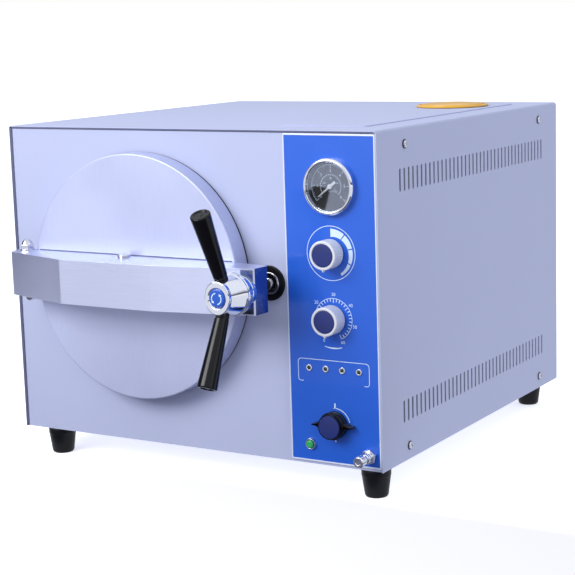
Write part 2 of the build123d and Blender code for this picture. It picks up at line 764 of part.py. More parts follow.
def control_knob(z):
    """Fluted knob with its shaft and a round recess in its front."""
    with BuildPart() as knob:
        with BuildSketch(section(DIAL_X, z)):
            with BuildLine():
                Polyline(
                    (0, -KNOB_AHEAD + 0.6),
                    (CAP_DISC, -KNOB_AHEAD + 0.6),
                    (CAP_DISC, -KNOB_AHEAD),
                    (KNOB_RADIUS - 1.2, -KNOB_AHEAD),
                    (KNOB_RADIUS, -KNOB_AHEAD + 1.2),
                    (KNOB_RADIUS, -KNOB_BACK),
                    (SHAFT_RADIUS, -KNOB_BACK),
                    (SHAFT_RADIUS, SHAFT_END),
                    (0, SHAFT_END),
                    close=True,
                )
            make_face()
        revolve(axis=turning_axis(DIAL_X, z))
        with BuildSketch(ahead(KNOB_BACK)):
            with Locations((DIAL_X, z)):
                with PolarLocations(KNOB_RADIUS + 0.25, FLUTES):
                    Circle(0.75)
        extrude(amount=KNOB_AHEAD - KNOB_BACK - 4, mode=Mode.SUBTRACT)
    return knob


def knob_cap(z, front, radius):
    """Coloured disc set into a knob's front."""
    with BuildPart() as cap:
        with BuildSketch(ahead(front - 0.6)):
            with Locations((DIAL_X, z)):
                Circle(radius)
        extrude(amount=1.4)
        fillet(cap.faces().sort_by(Axis.Y)[0].edges(), 0.6)
    return cap


def control_body(z, width, height, depth):
    """Body behind the panel that a knob's shaft turns in, held by its bush."""
    with BuildPart() as body:
        with BuildSketch(ahead(-PANEL_THICKNESS)):
            with Locations((DIAL_X, z)):
                Rectangle(width, height)
        extrude(amount=-depth)
        with BuildSketch(ahead(-PANEL_THICKNESS)):
            with Locations((DIAL_X, z)):
                Circle(5.5)
        extrude(amount=PANEL_THICKNESS + KNOB_BACK - GAP)
        with BuildSketch(ahead(KNOB_BACK)):
            with Locations((DIAL_X, z)):
                Circle(SHAFT_RADIUS + FIT)
        extrude(amount=-KNOB_BACK - SHAFT_END - 2, mode=Mode.SUBTRACT)
    return body


save(control_knob(PRESSURE_Z), "pressure_knob")
save(knob_cap(PRESSURE_Z, KNOB_AHEAD, CAP_DISC), "pressure_knob_cap")
save(control_body(PRESSURE_Z, 42, 42, 36), "pressure_controller")
save(control_knob(TIMER_Z), "timer_knob")
save(knob_cap(TIMER_Z, KNOB_AHEAD, CAP_DISC), "timer_knob_cap")
save(control_body(TIMER_Z, 46, 46, 40), "timer_unit")

SELECTOR_AHEAD = 16.0
WING_AHEAD = 11.0
WING_LENGTH = 28.0
with BuildPart() as selector_knob:
    selector_back = (DIAL_X, FRONT_Y - KNOB_BACK, SELECTOR_Z)
    selector_plane = Plane(origin=selector_back, x_dir=(1, 0, 0), z_dir=(0, -1, 0))
    with BuildSketch(selector_plane):
        Circle(15.0)
        with BuildLine():
            Polyline(
                (-WING_LENGTH, -1.2),
                (-12, -8),
                (12, -8),
                (WING_LENGTH, -1.2),
                (WING_LENGTH, 1.2),
                (12, 8),
                (-12, 8),
                (-WING_LENGTH, 1.2),
                close=True,
            )
        make_face()
    extrude(amount=WING_AHEAD - KNOB_BACK)
    fillet(selector_knob.faces().sort_by(Axis.Y)[0].edges(), 1.2)
    with BuildSketch(ahead(WING_AHEAD)):
        with Locations((DIAL_X, SELECTOR_Z)):
            Circle(13.4)
    extrude(amount=SELECTOR_AHEAD - 0.6 - WING_AHEAD)
    with BuildSketch(ahead(KNOB_BACK)):
        with Locations((DIAL_X, SELECTOR_Z)):
            Circle(SHAFT_RADIUS)
    extrude(amount=-KNOB_BACK - SHAFT_END)
save(selector_knob, "selector_knob")
save(knob_cap(SELECTOR_Z, SELECTOR_AHEAD, 12.4), "selector_knob_cap")

with BuildPart() as selector_valve:
    add(control_body(SELECTOR_Z, 40, 40, 22).part)
    with BuildSketch(ahead(-PANEL_THICKNESS - 22)):
        with Locations((DIAL_X, SELECTOR_Z)):
            Circle(18)
    extrude(amount=-26)
    with BuildSketch(ahead(-PANEL_THICKNESS - 48)):
        with Locations((DIAL_X, SELECTOR_Z)):
            with PolarLocations(9, 4):
                Circle(4)
    extrude(amount=-16)
save(selector_valve, "selector_valve")


# ---------------------------------------------------------------- lamps, reset button, drain valve
with BuildPart() as lamp_bezels:
    with BuildSketch(ahead(FASCIA_SHEET)):
        with Locations(*lamp_places):
            Circle(3.7)
            Circle(2.4, mode=Mode.SUBTRACT)
    extrude(amount=1.0)
save(lamp_bezels, "lamp_bezels")

with BuildPart() as lamp_lenses:
    for lamp_x, lamp_z in lamp_places:
        with BuildSketch(section(lamp_x, lamp_z)):
            with BuildLine():
                Polyline((0, -3.0), (0, 8), (2.4, 8), (2.4, -1.6))
                dome(2.4, -1.6, -1.4)
            make_face()
        revolve(axis=turning_axis(lamp_x, lamp_z))
save(lamp_lenses, "lamp_lenses")

with BuildPart() as reset_bezel:
    with BuildSketch(section(RESET_X, RESET_Z)):
        with BuildLine():
            Polyline(
                (4.6, -3.6),
                (5.2, -4.2),
                (6.0, -4.2),
                (6.6, -FASCIA_SHEET),
                (5.6, -FASCIA_SHEET),
                (5.6, 16),
                (0, 16),
                (0, 9),
                (4.6, 9),
                close=True,
            )
        make_face()
    revolve(axis=turning_axis(RESET_X, RESET_Z))
save(reset_bezel, "reset_bezel")

with BuildPart() as reset_button:
    with BuildSketch(ahead(-6)):
        with Locations((RESET_X, RESET_Z)):
            Circle(4.2)
    extrude(amount=12.4)
    fillet(reset_button.faces().sort_by(Axis.Y)[0].edges(), 0.8)
save(reset_button, "reset_button")

with BuildPart() as drain_valve_body:
    with BuildSketch(ahead(FASCIA_SHEET)):
        with Locations((DRAIN_X, DRAIN_Z)):
            RegularPolygon(8.6, 6)
    extrude(amount=5.5)
    with BuildSketch(section(DRAIN_X, DRAIN_Z)):
        with BuildLine():
            Polyline(
                (0, -15),
                (4.2, -15),
                (5.2, -13.5),
                (5.2, -FASCIA_SHEET),
                (DRAIN_BORE, -FASCIA_SHEET),
                (DRAIN_BORE, 16),
                (9, 16),
                (9, 34),
                (4, 34),
                (4, 46),
                (0, 46),
                close=True,
            )
        make_face()
    revolve(axis=turning_axis(DRAIN_X, DRAIN_Z))
    with BuildSketch(ahead(16)):
        with Locations((DRAIN_X, DRAIN_Z)):
            Circle(SHAFT_RADIUS + FIT)
    extrude(amount=-22, mode=Mode.SUBTRACT)
save(drain_valve_body, "drain_valve_body")

with BuildPart() as drain_valve_knob:
    with BuildSketch(section(DRAIN_X, DRAIN_Z)):
        with BuildLine():
            Polyline(
                (0, -29),
                (5.2, -29),
                (6.0, -28),
                (6.0, -19.5),
                (5.2, -18.5),
                (SHAFT_RADIUS, -18.5),
                (SHAFT_RADIUS, 4),
                (0, 4),
                close=True,
            )
        make_face()
    revolve(axis=turning_axis(DRAIN_X, DRAIN_Z))
save(drain_valve_knob, "drain_valve_knob")


# ---------------------------------------------------------------- door and its cross bar
DOOR_BAND_END = 2.5
DOOR_EDGE = 3.0            # radius of the cover's rounded edge
COVER_SHEET = 1.5
PLATE_BACK = 10.0
SEAL_INNER = 123.0
SEAL_OUTER = 129.5

with BuildPart() as door_cover:
    with BuildSketch(section(CHAMBER_X, CHAMBER_Z)):
        with BuildLine():
            Polyline(
                (DOOR_RADIUS, -DOOR_FACE + DOOR_EDGE),
                (DOOR_RADIUS, -DOOR_BAND_END),
                (DOOR_RADIUS - COVER_SHEET, -DOOR_BAND_END),
                (DOOR_RADIUS - COVER_SHEET, -DOOR_FACE + COVER_SHEET),
                (0, -DOOR_FACE + COVER_SHEET),
                (0, -DOOR_FACE),
                (DOOR_RADIUS - DOOR_EDGE, -DOOR_FACE),
            )
            edge_start = (DOOR_RADIUS - DOOR_EDGE, -DOOR_FACE)
            edge_end = (DOOR_RADIUS, -DOOR_FACE + DOOR_EDGE)
            RadiusArc(edge_start, edge_end, -DOOR_EDGE)
        make_face()
    revolve(axis=turning_axis(CHAMBER_X, CHAMBER_Z))
save(door_cover, "door_cover")

with BuildPart() as door_plate:
    with BuildSketch(section(CHAMBER_X, CHAMBER_Z)):
        with BuildLine():
            Polyline(
                (0, -DOOR_FACE + COVER_SHEET),
                (132.0, -DOOR_FACE + COVER_SHEET),
                (132.0, -PLATE_BACK),
                (SEAL_OUTER, -PLATE_BACK),
                (SEAL_OUTER, -PLATE_BACK - 4),
                (SEAL_INNER, -PLATE_BACK - 4),
                (SEAL_INNER, -PLATE_BACK),
                (0, -PLATE_BACK),
                close=True,
            )
        make_face()
    revolve(axis=turning_axis(CHAMBER_X, CHAMBER_Z))
save(door_plate, "door_plate")

with BuildPart() as door_seal:
    with BuildSketch(section(CHAMBER_X, CHAMBER_Z)):
        with BuildLine():
            Polyline(
                (SEAL_INNER, -PLATE_BACK - 4),
                (SEAL_OUTER, -PLATE_BACK - 4),
                (SEAL_OUTER, -FLANGE_FACE - 1.4),
                (SEAL_OUTER - 1.2, -FLANGE_FACE - 0.4),
                (SEAL_INNER + 1.2, -FLANGE_FACE - 0.4),
                (SEAL_INNER, -FLANGE_FACE - 1.4),
                close=True,
            )
        make_face()
    revolve(axis=turning_axis(CHAMBER_X, CHAMBER_Z))
save(door_seal, "door_seal")

# Plan of the bow-shaped bar: x and distance ahead of the panel, from the hinge end round the front.
BAR_LEFT = (-206.0, 48.5)
BAR_KNEE_LEFT = (-114.5, 76.4)
BAR_KNEE_RIGHT = (7.0, 76.4)
BAR_RIGHT = (124.5, 56.5)
BAR_BACK = DOOR_FACE
PIVOT = (CHAMBER_X - 2.5, 37.0)
HINGE_EYE = 13.0
BUSH_FRONT = 64.0
BUSH_BACK = 36.0


def plan(point):
    """Turn a distance ahead of the front panel into the y of a level sketch."""
    return (point[0], -point[1])


with BuildPart() as crossbar:
    with BuildSketch(level(CHAMBER_Z - BAR_HEIGHT / 2)):
        with BuildLine():
            Polyline(
                plan((HINGE_X - HINGE_EYE, HINGE_AHEAD + 4)),
                plan(BAR_LEFT),
                plan(BAR_KNEE_LEFT),
                plan(BAR_KNEE_RIGHT),
                plan(BAR_RIGHT),
                plan((126.5, 33.0)),
                plan((83.0, BAR_BACK)),
                plan((-190.5, BAR_BACK)),
                plan((HINGE_X + 5, HINGE_AHEAD - 12)),
                close=True,
            )
        make_face()
        with Locations(plan((HINGE_X, HINGE_AHEAD))):
            Circle(HINGE_EYE)
    extrude(amount=BAR_HEIGHT)
    with BuildSketch(ahead(0)):
        with Locations((CHAMBER_X, CHAMBER_Z)):
            Circle(DOOR_RADIUS + 1)
    extrude(amount=DOOR_FACE, mode=Mode.SUBTRACT)
    with BuildSketch(level(CHAMBER_Z - BAR_HEIGHT / 2 + BAR_SHEET)):
        with BuildLine():
            Polyline(
                plan((-240, 10)),
                plan((-240, BAR_LEFT[1] - 13.5)),
                plan((BAR_KNEE_LEFT[0] + 0.5, BAR_KNEE_LEFT[1] - BAR_SHEET)),
                plan((BAR_KNEE_RIGHT[0] - 0.3, BAR_KNEE_RIGHT[1] - BAR_SHEET)),
                plan((BAR_RIGHT[0] - BAR_SHEET, BAR_RIGHT[1] - BAR_SHEET + 0.5)),
                plan((124.0, 10)),
                close=True,
            )
        make_face()
    extrude(amount=BAR_HEIGHT - 2 * BAR_SHEET, mode=Mode.SUBTRACT)
    with BuildSketch(ahead(BUSH_BACK)):
        with Locations((LOCK_X, LOCK_Z)):
            Circle(13.0)
    extrude(amount=BUSH_FRONT - BUSH_BACK)
    with BuildSketch(ahead(BUSH_BACK)):
        with Locations((LOCK_X, LOCK_Z)):
            Circle(SPINDLE_RADIUS + FIT)
    extrude(amount=BUSH_FRONT - BUSH_BACK, mode=Mode.SUBTRACT)
    with BuildSketch(level(0)):
        with Locations(plan((HINGE_X, HINGE_AHEAD))):
            Circle(4.5)
        with Locations(plan(PIVOT)):
            Circle(4.0)
    extrude(amount=TOP_Z, mode=Mode.SUBTRACT)
save(crossbar, "crossbar")

with BuildPart() as pivot_block:
    with BuildSketch(level(CHAMBER_Z - BAR_HEIGHT / 2 + BAR_SHEET)):
        with Locations(plan((PIVOT[0], (DOOR_FACE + 50) / 2))):
            Rectangle(32, 50 - DOOR_FACE)
        with Locations(plan(PIVOT)):
            Circle(4.0, mode=Mode.SUBTRACT)
    extrude(amount=BAR_HEIGHT - 2 * BAR_SHEET)
save(pivot_block, "pivot_block")

bar_top = CHAMBER_Z + BAR_HEIGHT / 2
bar_bottom = CHAMBER_Z - BAR_HEIGHT / 2
with BuildPart() as centre_pin:
    with BuildSketch(level(bar_bottom)):
        with Locations(plan(PIVOT)):
            Circle(4.0)
    extrude(amount=BAR_HEIGHT)
    with BuildSketch(level(bar_top)):
        with Locations(plan(PIVOT)):
            Circle(7.0)
    extrude(amount=3.4)
    fillet(centre_pin.faces().sort_by(Axis.Z)[-1].edges(), 1.6)
    with BuildSketch(level(bar_bottom)):
        with Locations(plan(PIVOT)):
            RegularPolygon(7.0, 6)
    extrude(amount=-5)
save(centre_pin, "centre_pin")

with BuildPart() as hinge_pin:
    with BuildSketch(level(bar_bottom)):
        with Locations(plan((HINGE_X, HINGE_AHEAD))):
            Circle(4.5)
    extrude(amount=BAR_HEIGHT)
    for start, way in ((bar_top, 1), (bar_bottom, -1)):
        nut_height = 12.0 if way > 0 else 9.0
        with BuildSketch(level(start)):
            with Locations(plan((HINGE_X, HINGE_AHEAD))):
                Circle(8.4)
        extrude(amount=way * 1.6)
        with BuildSketch(level(start + way * 1.6)):
            with Locations(plan((HINGE_X, HINGE_AHEAD))):
                RegularPolygon(8.0, 6)
        extrude(amount=way * (nut_height - 7.0))
        with BuildSketch(level(start + way * (nut_height - 5.4))):
            with Locations(plan((HINGE_X, HINGE_AHEAD))):
                Circle(6.4)
        extrude(amount=way * 5.4)
    fillet(hinge_pin.faces().sort_by(Axis.Z)[-1].edges(), 4.0)
    fillet(hinge_pin.faces().sort_by(Axis.Z)[0].edges(), 4.0)
save(hinge_pin, "hinge_pin")

BRACKET_HALF = BAR_HEIGHT / 2 - BAR_SHEET - 0.7
with BuildPart() as hinge_bracket:
    with BuildSketch(level(CHAMBER_Z - BRACKET_HALF)):
        with Locations(plan((HINGE_X, HINGE_AHEAD))):
            Circle(8.0)
        with Locations(plan((HINGE_X + 1, (HINGE_AHEAD + BRACKET_BASE) / 2))):
            Rectangle(10, HINGE_AHEAD - BRACKET_BASE)
        with Locations(plan((HINGE_X - 5.5, BRACKET_BASE / 2))):
            Rectangle(23, BRACKET_BASE)
    extrude(amount=2 * BRACKET_HALF)
    with BuildSketch(level(CHAMBER_Z - BRACKET_HALF)):
        with Locations(plan((HINGE_X, HINGE_AHEAD))):
            Circle(4.5 + FIT)
    extrude(amount=2 * BRACKET_HALF, mode=Mode.SUBTRACT)
    with BuildSketch(ahead(BRACKET_BASE)):
        with Locations(*bracket_screws):
            Circle(2.5)
    extrude(amount=-BRACKET_BASE, mode=Mode.SUBTRACT)
save(hinge_bracket, "hinge_bracket")


# ---------------------------------------------------------------- handwheel and lock
HUB_BACK = 69.3
HUB_FRONT = 102.0
HUB_CAP_RADIUS = 11.0
SPINDLE_END = 6.0         # depth of the spindle's tip behind the panel when locked
LEVER_SPLAY = 25.4
LEVER_ROOT = (15.0, 90.7)   # radius from the wheel's axis, distance ahead of the panel
LEVER_LENGTH = 81.5
LEVER_ROOT_RADIUS = 6.8
LEVER_TIP_RADIUS = 10.8


def lever(way):
    """Tapered handle that leans forward, up for way = 1 and down for way = -1."""
    run = Vector(0, -sin(radians(LEVER_SPLAY)), way * cos(radians(LEVER_SPLAY)))
    root = Vector(LOCK_X, FRONT_Y - LEVER_ROOT[1], LOCK_Z + way * LEVER_ROOT[0])
    with BuildPart() as handle:
        with BuildSketch(Plane(origin=root, x_dir=(1, 0, 0), z_dir=run)):
            Circle(LEVER_ROOT_RADIUS)
        with BuildSketch(Plane(origin=root + run * LEVER_LENGTH, x_dir=(1, 0, 0), z_dir=run)):
            Circle(LEVER_TIP_RADIUS)
        loft()
        fillet(handle.edges().filter_by(GeomType.CIRCLE).sort_by(Axis.Y)[0], 2.5)
    return handle


with BuildPart() as levers:
    add(lever(1).part)
    add(lever(-1).part)
save(levers, "levers")

with BuildPart() as handwheel_hub:
    with BuildSketch(section(LOCK_X, LOCK_Z)):
        with BuildLine():
            Polyline(
                (SPINDLE_RADIUS, -HUB_BACK),
                (21.0, -HUB_BACK),
                (22.6, -HUB_BACK - 1.6),
                (22.6, -HUB_BACK - 7.4),
                (21.6, -HUB_BACK - 9.0),
                (17.2, -HUB_FRONT + 5.5),
                (17.6, -HUB_FRONT + 2.0),
                (15.6, -HUB_FRONT),
                (HUB_CAP_RADIUS, -HUB_FRONT),
                (HUB_CAP_RADIUS, -HUB_FRONT + 2.0),
                (SPINDLE_RADIUS, -HUB_FRONT + 2.0),
                close=True,
            )
        make_face()
    revolve(axis=turning_axis(LOCK_X, LOCK_Z))
    add(levers.part, mode=Mode.SUBTRACT)
save(handwheel_hub, "handwheel_hub")

with BuildPart() as spindle:
    with BuildSketch(section(LOCK_X, LOCK_Z)):
        with BuildLine():
            Polyline(
                (0, -HUB_FRONT + 2.0),
                (SPINDLE_RADIUS, -HUB_FRONT + 2.0),
                (SPINDLE_RADIUS, -BUSH_BACK + 4),
                (SPINDLE_CORE, -BUSH_BACK + 6),
                (SPINDLE_CORE, SPINDLE_END - 1.5),
                (SPINDLE_CORE - 1.5, SPINDLE_END),
                (0, SPINDLE_END),
                close=True,
            )
        make_face()
    revolve(axis=turning_axis(LOCK_X, LOCK_Z))
    add(levers.part, mode=Mode.SUBTRACT)
save(spindle, "spindle")

with BuildPart() as hub_cap:
    with BuildSketch(ahead(HUB_FRONT - 2)):
        with Locations((LOCK_X, LOCK_Z)):
            Circle(HUB_CAP_RADIUS)
    extrude(amount=2.8)
    fillet(hub_cap.faces().sort_by(Axis.Y)[0].edges(), 0.8)
save(hub_cap, "hub_cap")

with BuildPart() as thrust_collar:
    with BuildSketch(section(LOCK_X, LOCK_Z)):
        with BuildLine():
            Polyline(
                (SPINDLE_RADIUS + FIT, -BUSH_FRONT - GAP),
                (18.0, -BUSH_FRONT - GAP),
                (20.5, -BUSH_FRONT - GAP - 1.5),
                (20.5, -HUB_BACK + GAP),
                (SPINDLE_RADIUS + FIT, -HUB_BACK + GAP),
                close=True,
            )
        make_face()
    revolve(axis=turning_axis(LOCK_X, LOCK_Z))
save(thrust_collar, "thrust_collar")

with BuildPart() as lock_nut:
    with BuildSketch(section(LOCK_X, LOCK_Z)):
        with BuildLine():
            Polyline(
                (NUT_ROOT + 1.6, -2),
                (10.8, -2),
                (12.0, -0.8),
                (12.0, FRAME_BACK),
                (18.0, FRAME_BACK),
                (18.0, FRAME_BACK + 6),
                (NUT_ROOT, FRAME_BACK + 6),
                (NUT_ROOT, -0.4),
                close=True,
            )
        make_face()
    revolve(axis=turning_axis(LOCK_X, LOCK_Z))
save(lock_nut, "lock_nut")

with BuildPart() as lock_grommet:
    with BuildSketch(section(LOCK_X, LOCK_Z)):
        with BuildLine():
            Polyline(
                (GROMMET_BORE, -2.2),
                (GROMMET_RIM - 1, -2.2),
                (GROMMET_RIM, -1.2),
                (GROMMET_RIM, 0),
                (GROMMET_NECK, 0),
                (GROMMET_NECK, PANEL_THICKNESS),
                (GROMMET_BORE, PANEL_THICKNESS),
                close=True,
            )
        make_face()
    revolve(axis=turning_axis(LOCK_X, LOCK_Z))
save(lock_grommet, "lock_grommet")
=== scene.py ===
import math

import bmesh
import bpy
from mathutils import Matrix, Vector


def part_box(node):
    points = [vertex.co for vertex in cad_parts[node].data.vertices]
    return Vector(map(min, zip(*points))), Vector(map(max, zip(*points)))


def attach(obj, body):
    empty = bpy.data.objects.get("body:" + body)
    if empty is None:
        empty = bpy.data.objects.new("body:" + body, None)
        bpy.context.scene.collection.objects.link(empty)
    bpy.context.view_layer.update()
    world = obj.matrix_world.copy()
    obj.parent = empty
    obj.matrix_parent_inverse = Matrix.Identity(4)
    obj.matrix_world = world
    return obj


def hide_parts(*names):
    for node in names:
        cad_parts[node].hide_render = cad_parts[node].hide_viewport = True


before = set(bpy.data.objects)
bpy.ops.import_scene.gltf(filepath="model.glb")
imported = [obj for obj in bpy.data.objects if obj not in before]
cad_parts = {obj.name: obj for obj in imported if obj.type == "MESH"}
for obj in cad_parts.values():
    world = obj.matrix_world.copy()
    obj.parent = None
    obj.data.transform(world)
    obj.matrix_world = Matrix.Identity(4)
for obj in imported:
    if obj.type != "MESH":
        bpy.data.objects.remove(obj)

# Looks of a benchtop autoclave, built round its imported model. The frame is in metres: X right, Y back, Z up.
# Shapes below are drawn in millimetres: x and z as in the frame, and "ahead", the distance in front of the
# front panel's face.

MM = 0.001
SHARP_ANGLE = math.radians(32)
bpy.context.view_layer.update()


# ---------------------------------------------------------------- places, from the frame
def middle(node):
    """(x, z) of a node's middle, in mm."""
    low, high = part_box(node)
    return ((low.x + high.x) / 2 / MM, (low.z + high.z) / 2 / MM)


def solids(node):
    """(lowest, highest) corner of each separate solid in a node, in metres, sorted."""
    shape = bmesh.new()
    shape.from_mesh(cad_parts[node].data)
    bmesh.ops.remove_doubles(shape, verts=shape.verts, dist=1e-6)
    left = set(shape.verts)
    boxes = []
    while left:
        edge_of_patch = [left.pop()]
        found = list(edge_of_patch)
        while edge_of_patch:
            vert = edge_of_patch.pop()
            near = [e.other_vert(vert) for e in vert.link_edges]
            new = [v for v in near if v in left]
            left.difference_update(new)
            edge_of_patch.extend(new)
            found.extend(new)
        low = tuple(min(v.co[i] for v in found) for i in range(3))
        high = tuple(max(v.co[i] for v in found) for i in range(3))
        boxes.append((low, high))
    shape.free()
    return sorted(boxes)


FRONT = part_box("front_panel")[0].y
DOOR = middle("door_cover")
LOCK = middle("lock_nut")
GAUGE = middle("gauge_bezel")
PRESSURE = middle("pressure_knob_cap")
TIMER = middle("timer_knob_cap")
SELECTOR = middle("selector_knob_cap")
RESET = middle("reset_bezel")
DRAIN = middle("drain_valve_knob")
LAMPS = [((low[0] + high[0]) / 2 / MM, (low[2] + high[2]) / 2 / MM) for low, high in solids("lamp_bezels")]
FASCIA_LOW, FASCIA_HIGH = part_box("control_panel")
FORWARD = Vector((0, -1, 0))
UP = Vector((0, 0, 1))


def ahead_of(place, distance):
    """Point in the frame at (x, z) mm and a distance ahead of the front panel."""
    return Vector((place[0] * MM, FRONT - distance * MM, place[1] * MM))


# ---------------------------------------------------------------- materials
def chain(tree, kind, inputs=(), **settings):
    """Add a node, set its properties, and link or set its inputs by name."""
    node = tree.nodes.new(kind)
    for key, value in settings.items():
        setattr(node, key, value)
    for key, value in dict(inputs).items():
        if isinstance(value, bpy.types.NodeSocket):
            tree.links.new(value, node.inputs[key])
        else:
            node.inputs[key].default_value = value
    return node


def shade(colour, factor):
    """A colour made lighter or darker, with full alpha."""
    return tuple(min(1.0, c * factor) for c in colour) + (1.0,)


SMUDGE_SCALE = 9.0
SMUDGE_SHARE = 0.55
NOISE_LOW = 0.3
NOISE_HIGH = 0.7
RELIEF_DEPTH = 0.0002
COAT_ROUGHNESS = 0.06


def finish(name, colour, rough, metallic=0.0, grain=900.0, stretch=(1, 1, 1), vary=0.05, rough_vary=0.06,
           bump=0.05, coat=0.0, ior=1.5, alpha=1.0, second=None, second_scale=40.0):
    """Procedural finish: fine grain (stretched into brush marks if wanted) over broad, faint smudges."""
    made = bpy.data.materials.new(name)
    made.use_nodes = True
    tree = made.node_tree
    shader = tree.nodes["Principled BSDF"]
    place = chain(tree, "ShaderNodeTexCoord").outputs["Object"]
    scaled = chain(tree, "ShaderNodeMapping", {"Vector": place, "Scale": stretch}).outputs["Vector"]
    fine = chain(tree, "ShaderNodeTexNoise",
                 {"Vector": scaled, "Scale": grain, "Detail": 3.0, "Roughness": 0.6})
    broad = chain(tree, "ShaderNodeTexNoise", {"Vector": place, "Scale": SMUDGE_SCALE, "Detail": 2.0})
    both = chain(tree, "ShaderNodeMix", {0: SMUDGE_SHARE, 2: fine.outputs["Fac"], 3: broad.outputs["Fac"]})
    ramp = chain(tree, "ShaderNodeValToRGB", {"Fac": both.outputs[0]})
    ramp.color_ramp.elements[0].position = NOISE_LOW
    ramp.color_ramp.elements[0].color = shade(colour, 1 - vary)
    ramp.color_ramp.elements[1].position = NOISE_HIGH
    ramp.color_ramp.elements[1].color = shade(colour, 1 + vary)
    painted = ramp.outputs["Color"]
    if second is not None:
        spots = chain(tree, "ShaderNodeTexNoise", {"Vector": place, "Scale": second_scale, "Detail": 4.0})
        mask = chain(tree, "ShaderNodeValToRGB", {"Fac": spots.outputs["Fac"]})
        mask.color_ramp.elements[0].position = 0.5
        mask.color_ramp.elements[1].position = 0.72
        blend = {0: mask.outputs["Color"], 6: painted, 7: tuple(second) + (1.0,)}
        painted = chain(tree, "ShaderNodeMix", blend, data_type="RGBA").outputs[2]
    tree.links.new(painted, shader.inputs["Base Color"])
    span = {"Value": both.outputs[0], "From Min": NOISE_LOW, "From Max": NOISE_HIGH,
            "To Min": max(0.0, rough - rough_vary), "To Max": rough + rough_vary}
    dull = chain(tree, "ShaderNodeMapRange", span)
    tree.links.new(dull.outputs["Result"], shader.inputs["Roughness"])
    relief = chain(tree, "ShaderNodeBump",
                   {"Height": fine.outputs["Fac"], "Strength": bump, "Distance": RELIEF_DEPTH})
    tree.links.new(relief.outputs["Normal"], shader.inputs["Normal"])
    shader.inputs["Metallic"].default_value = metallic
    shader.inputs["IOR"].default_value = ior
    shader.inputs["Coat Weight"].default_value = coat
    shader.inputs["Coat Roughness"].default_value = COAT_ROUGHNESS
    shader.inputs["Alpha"].default_value = alpha
    return made


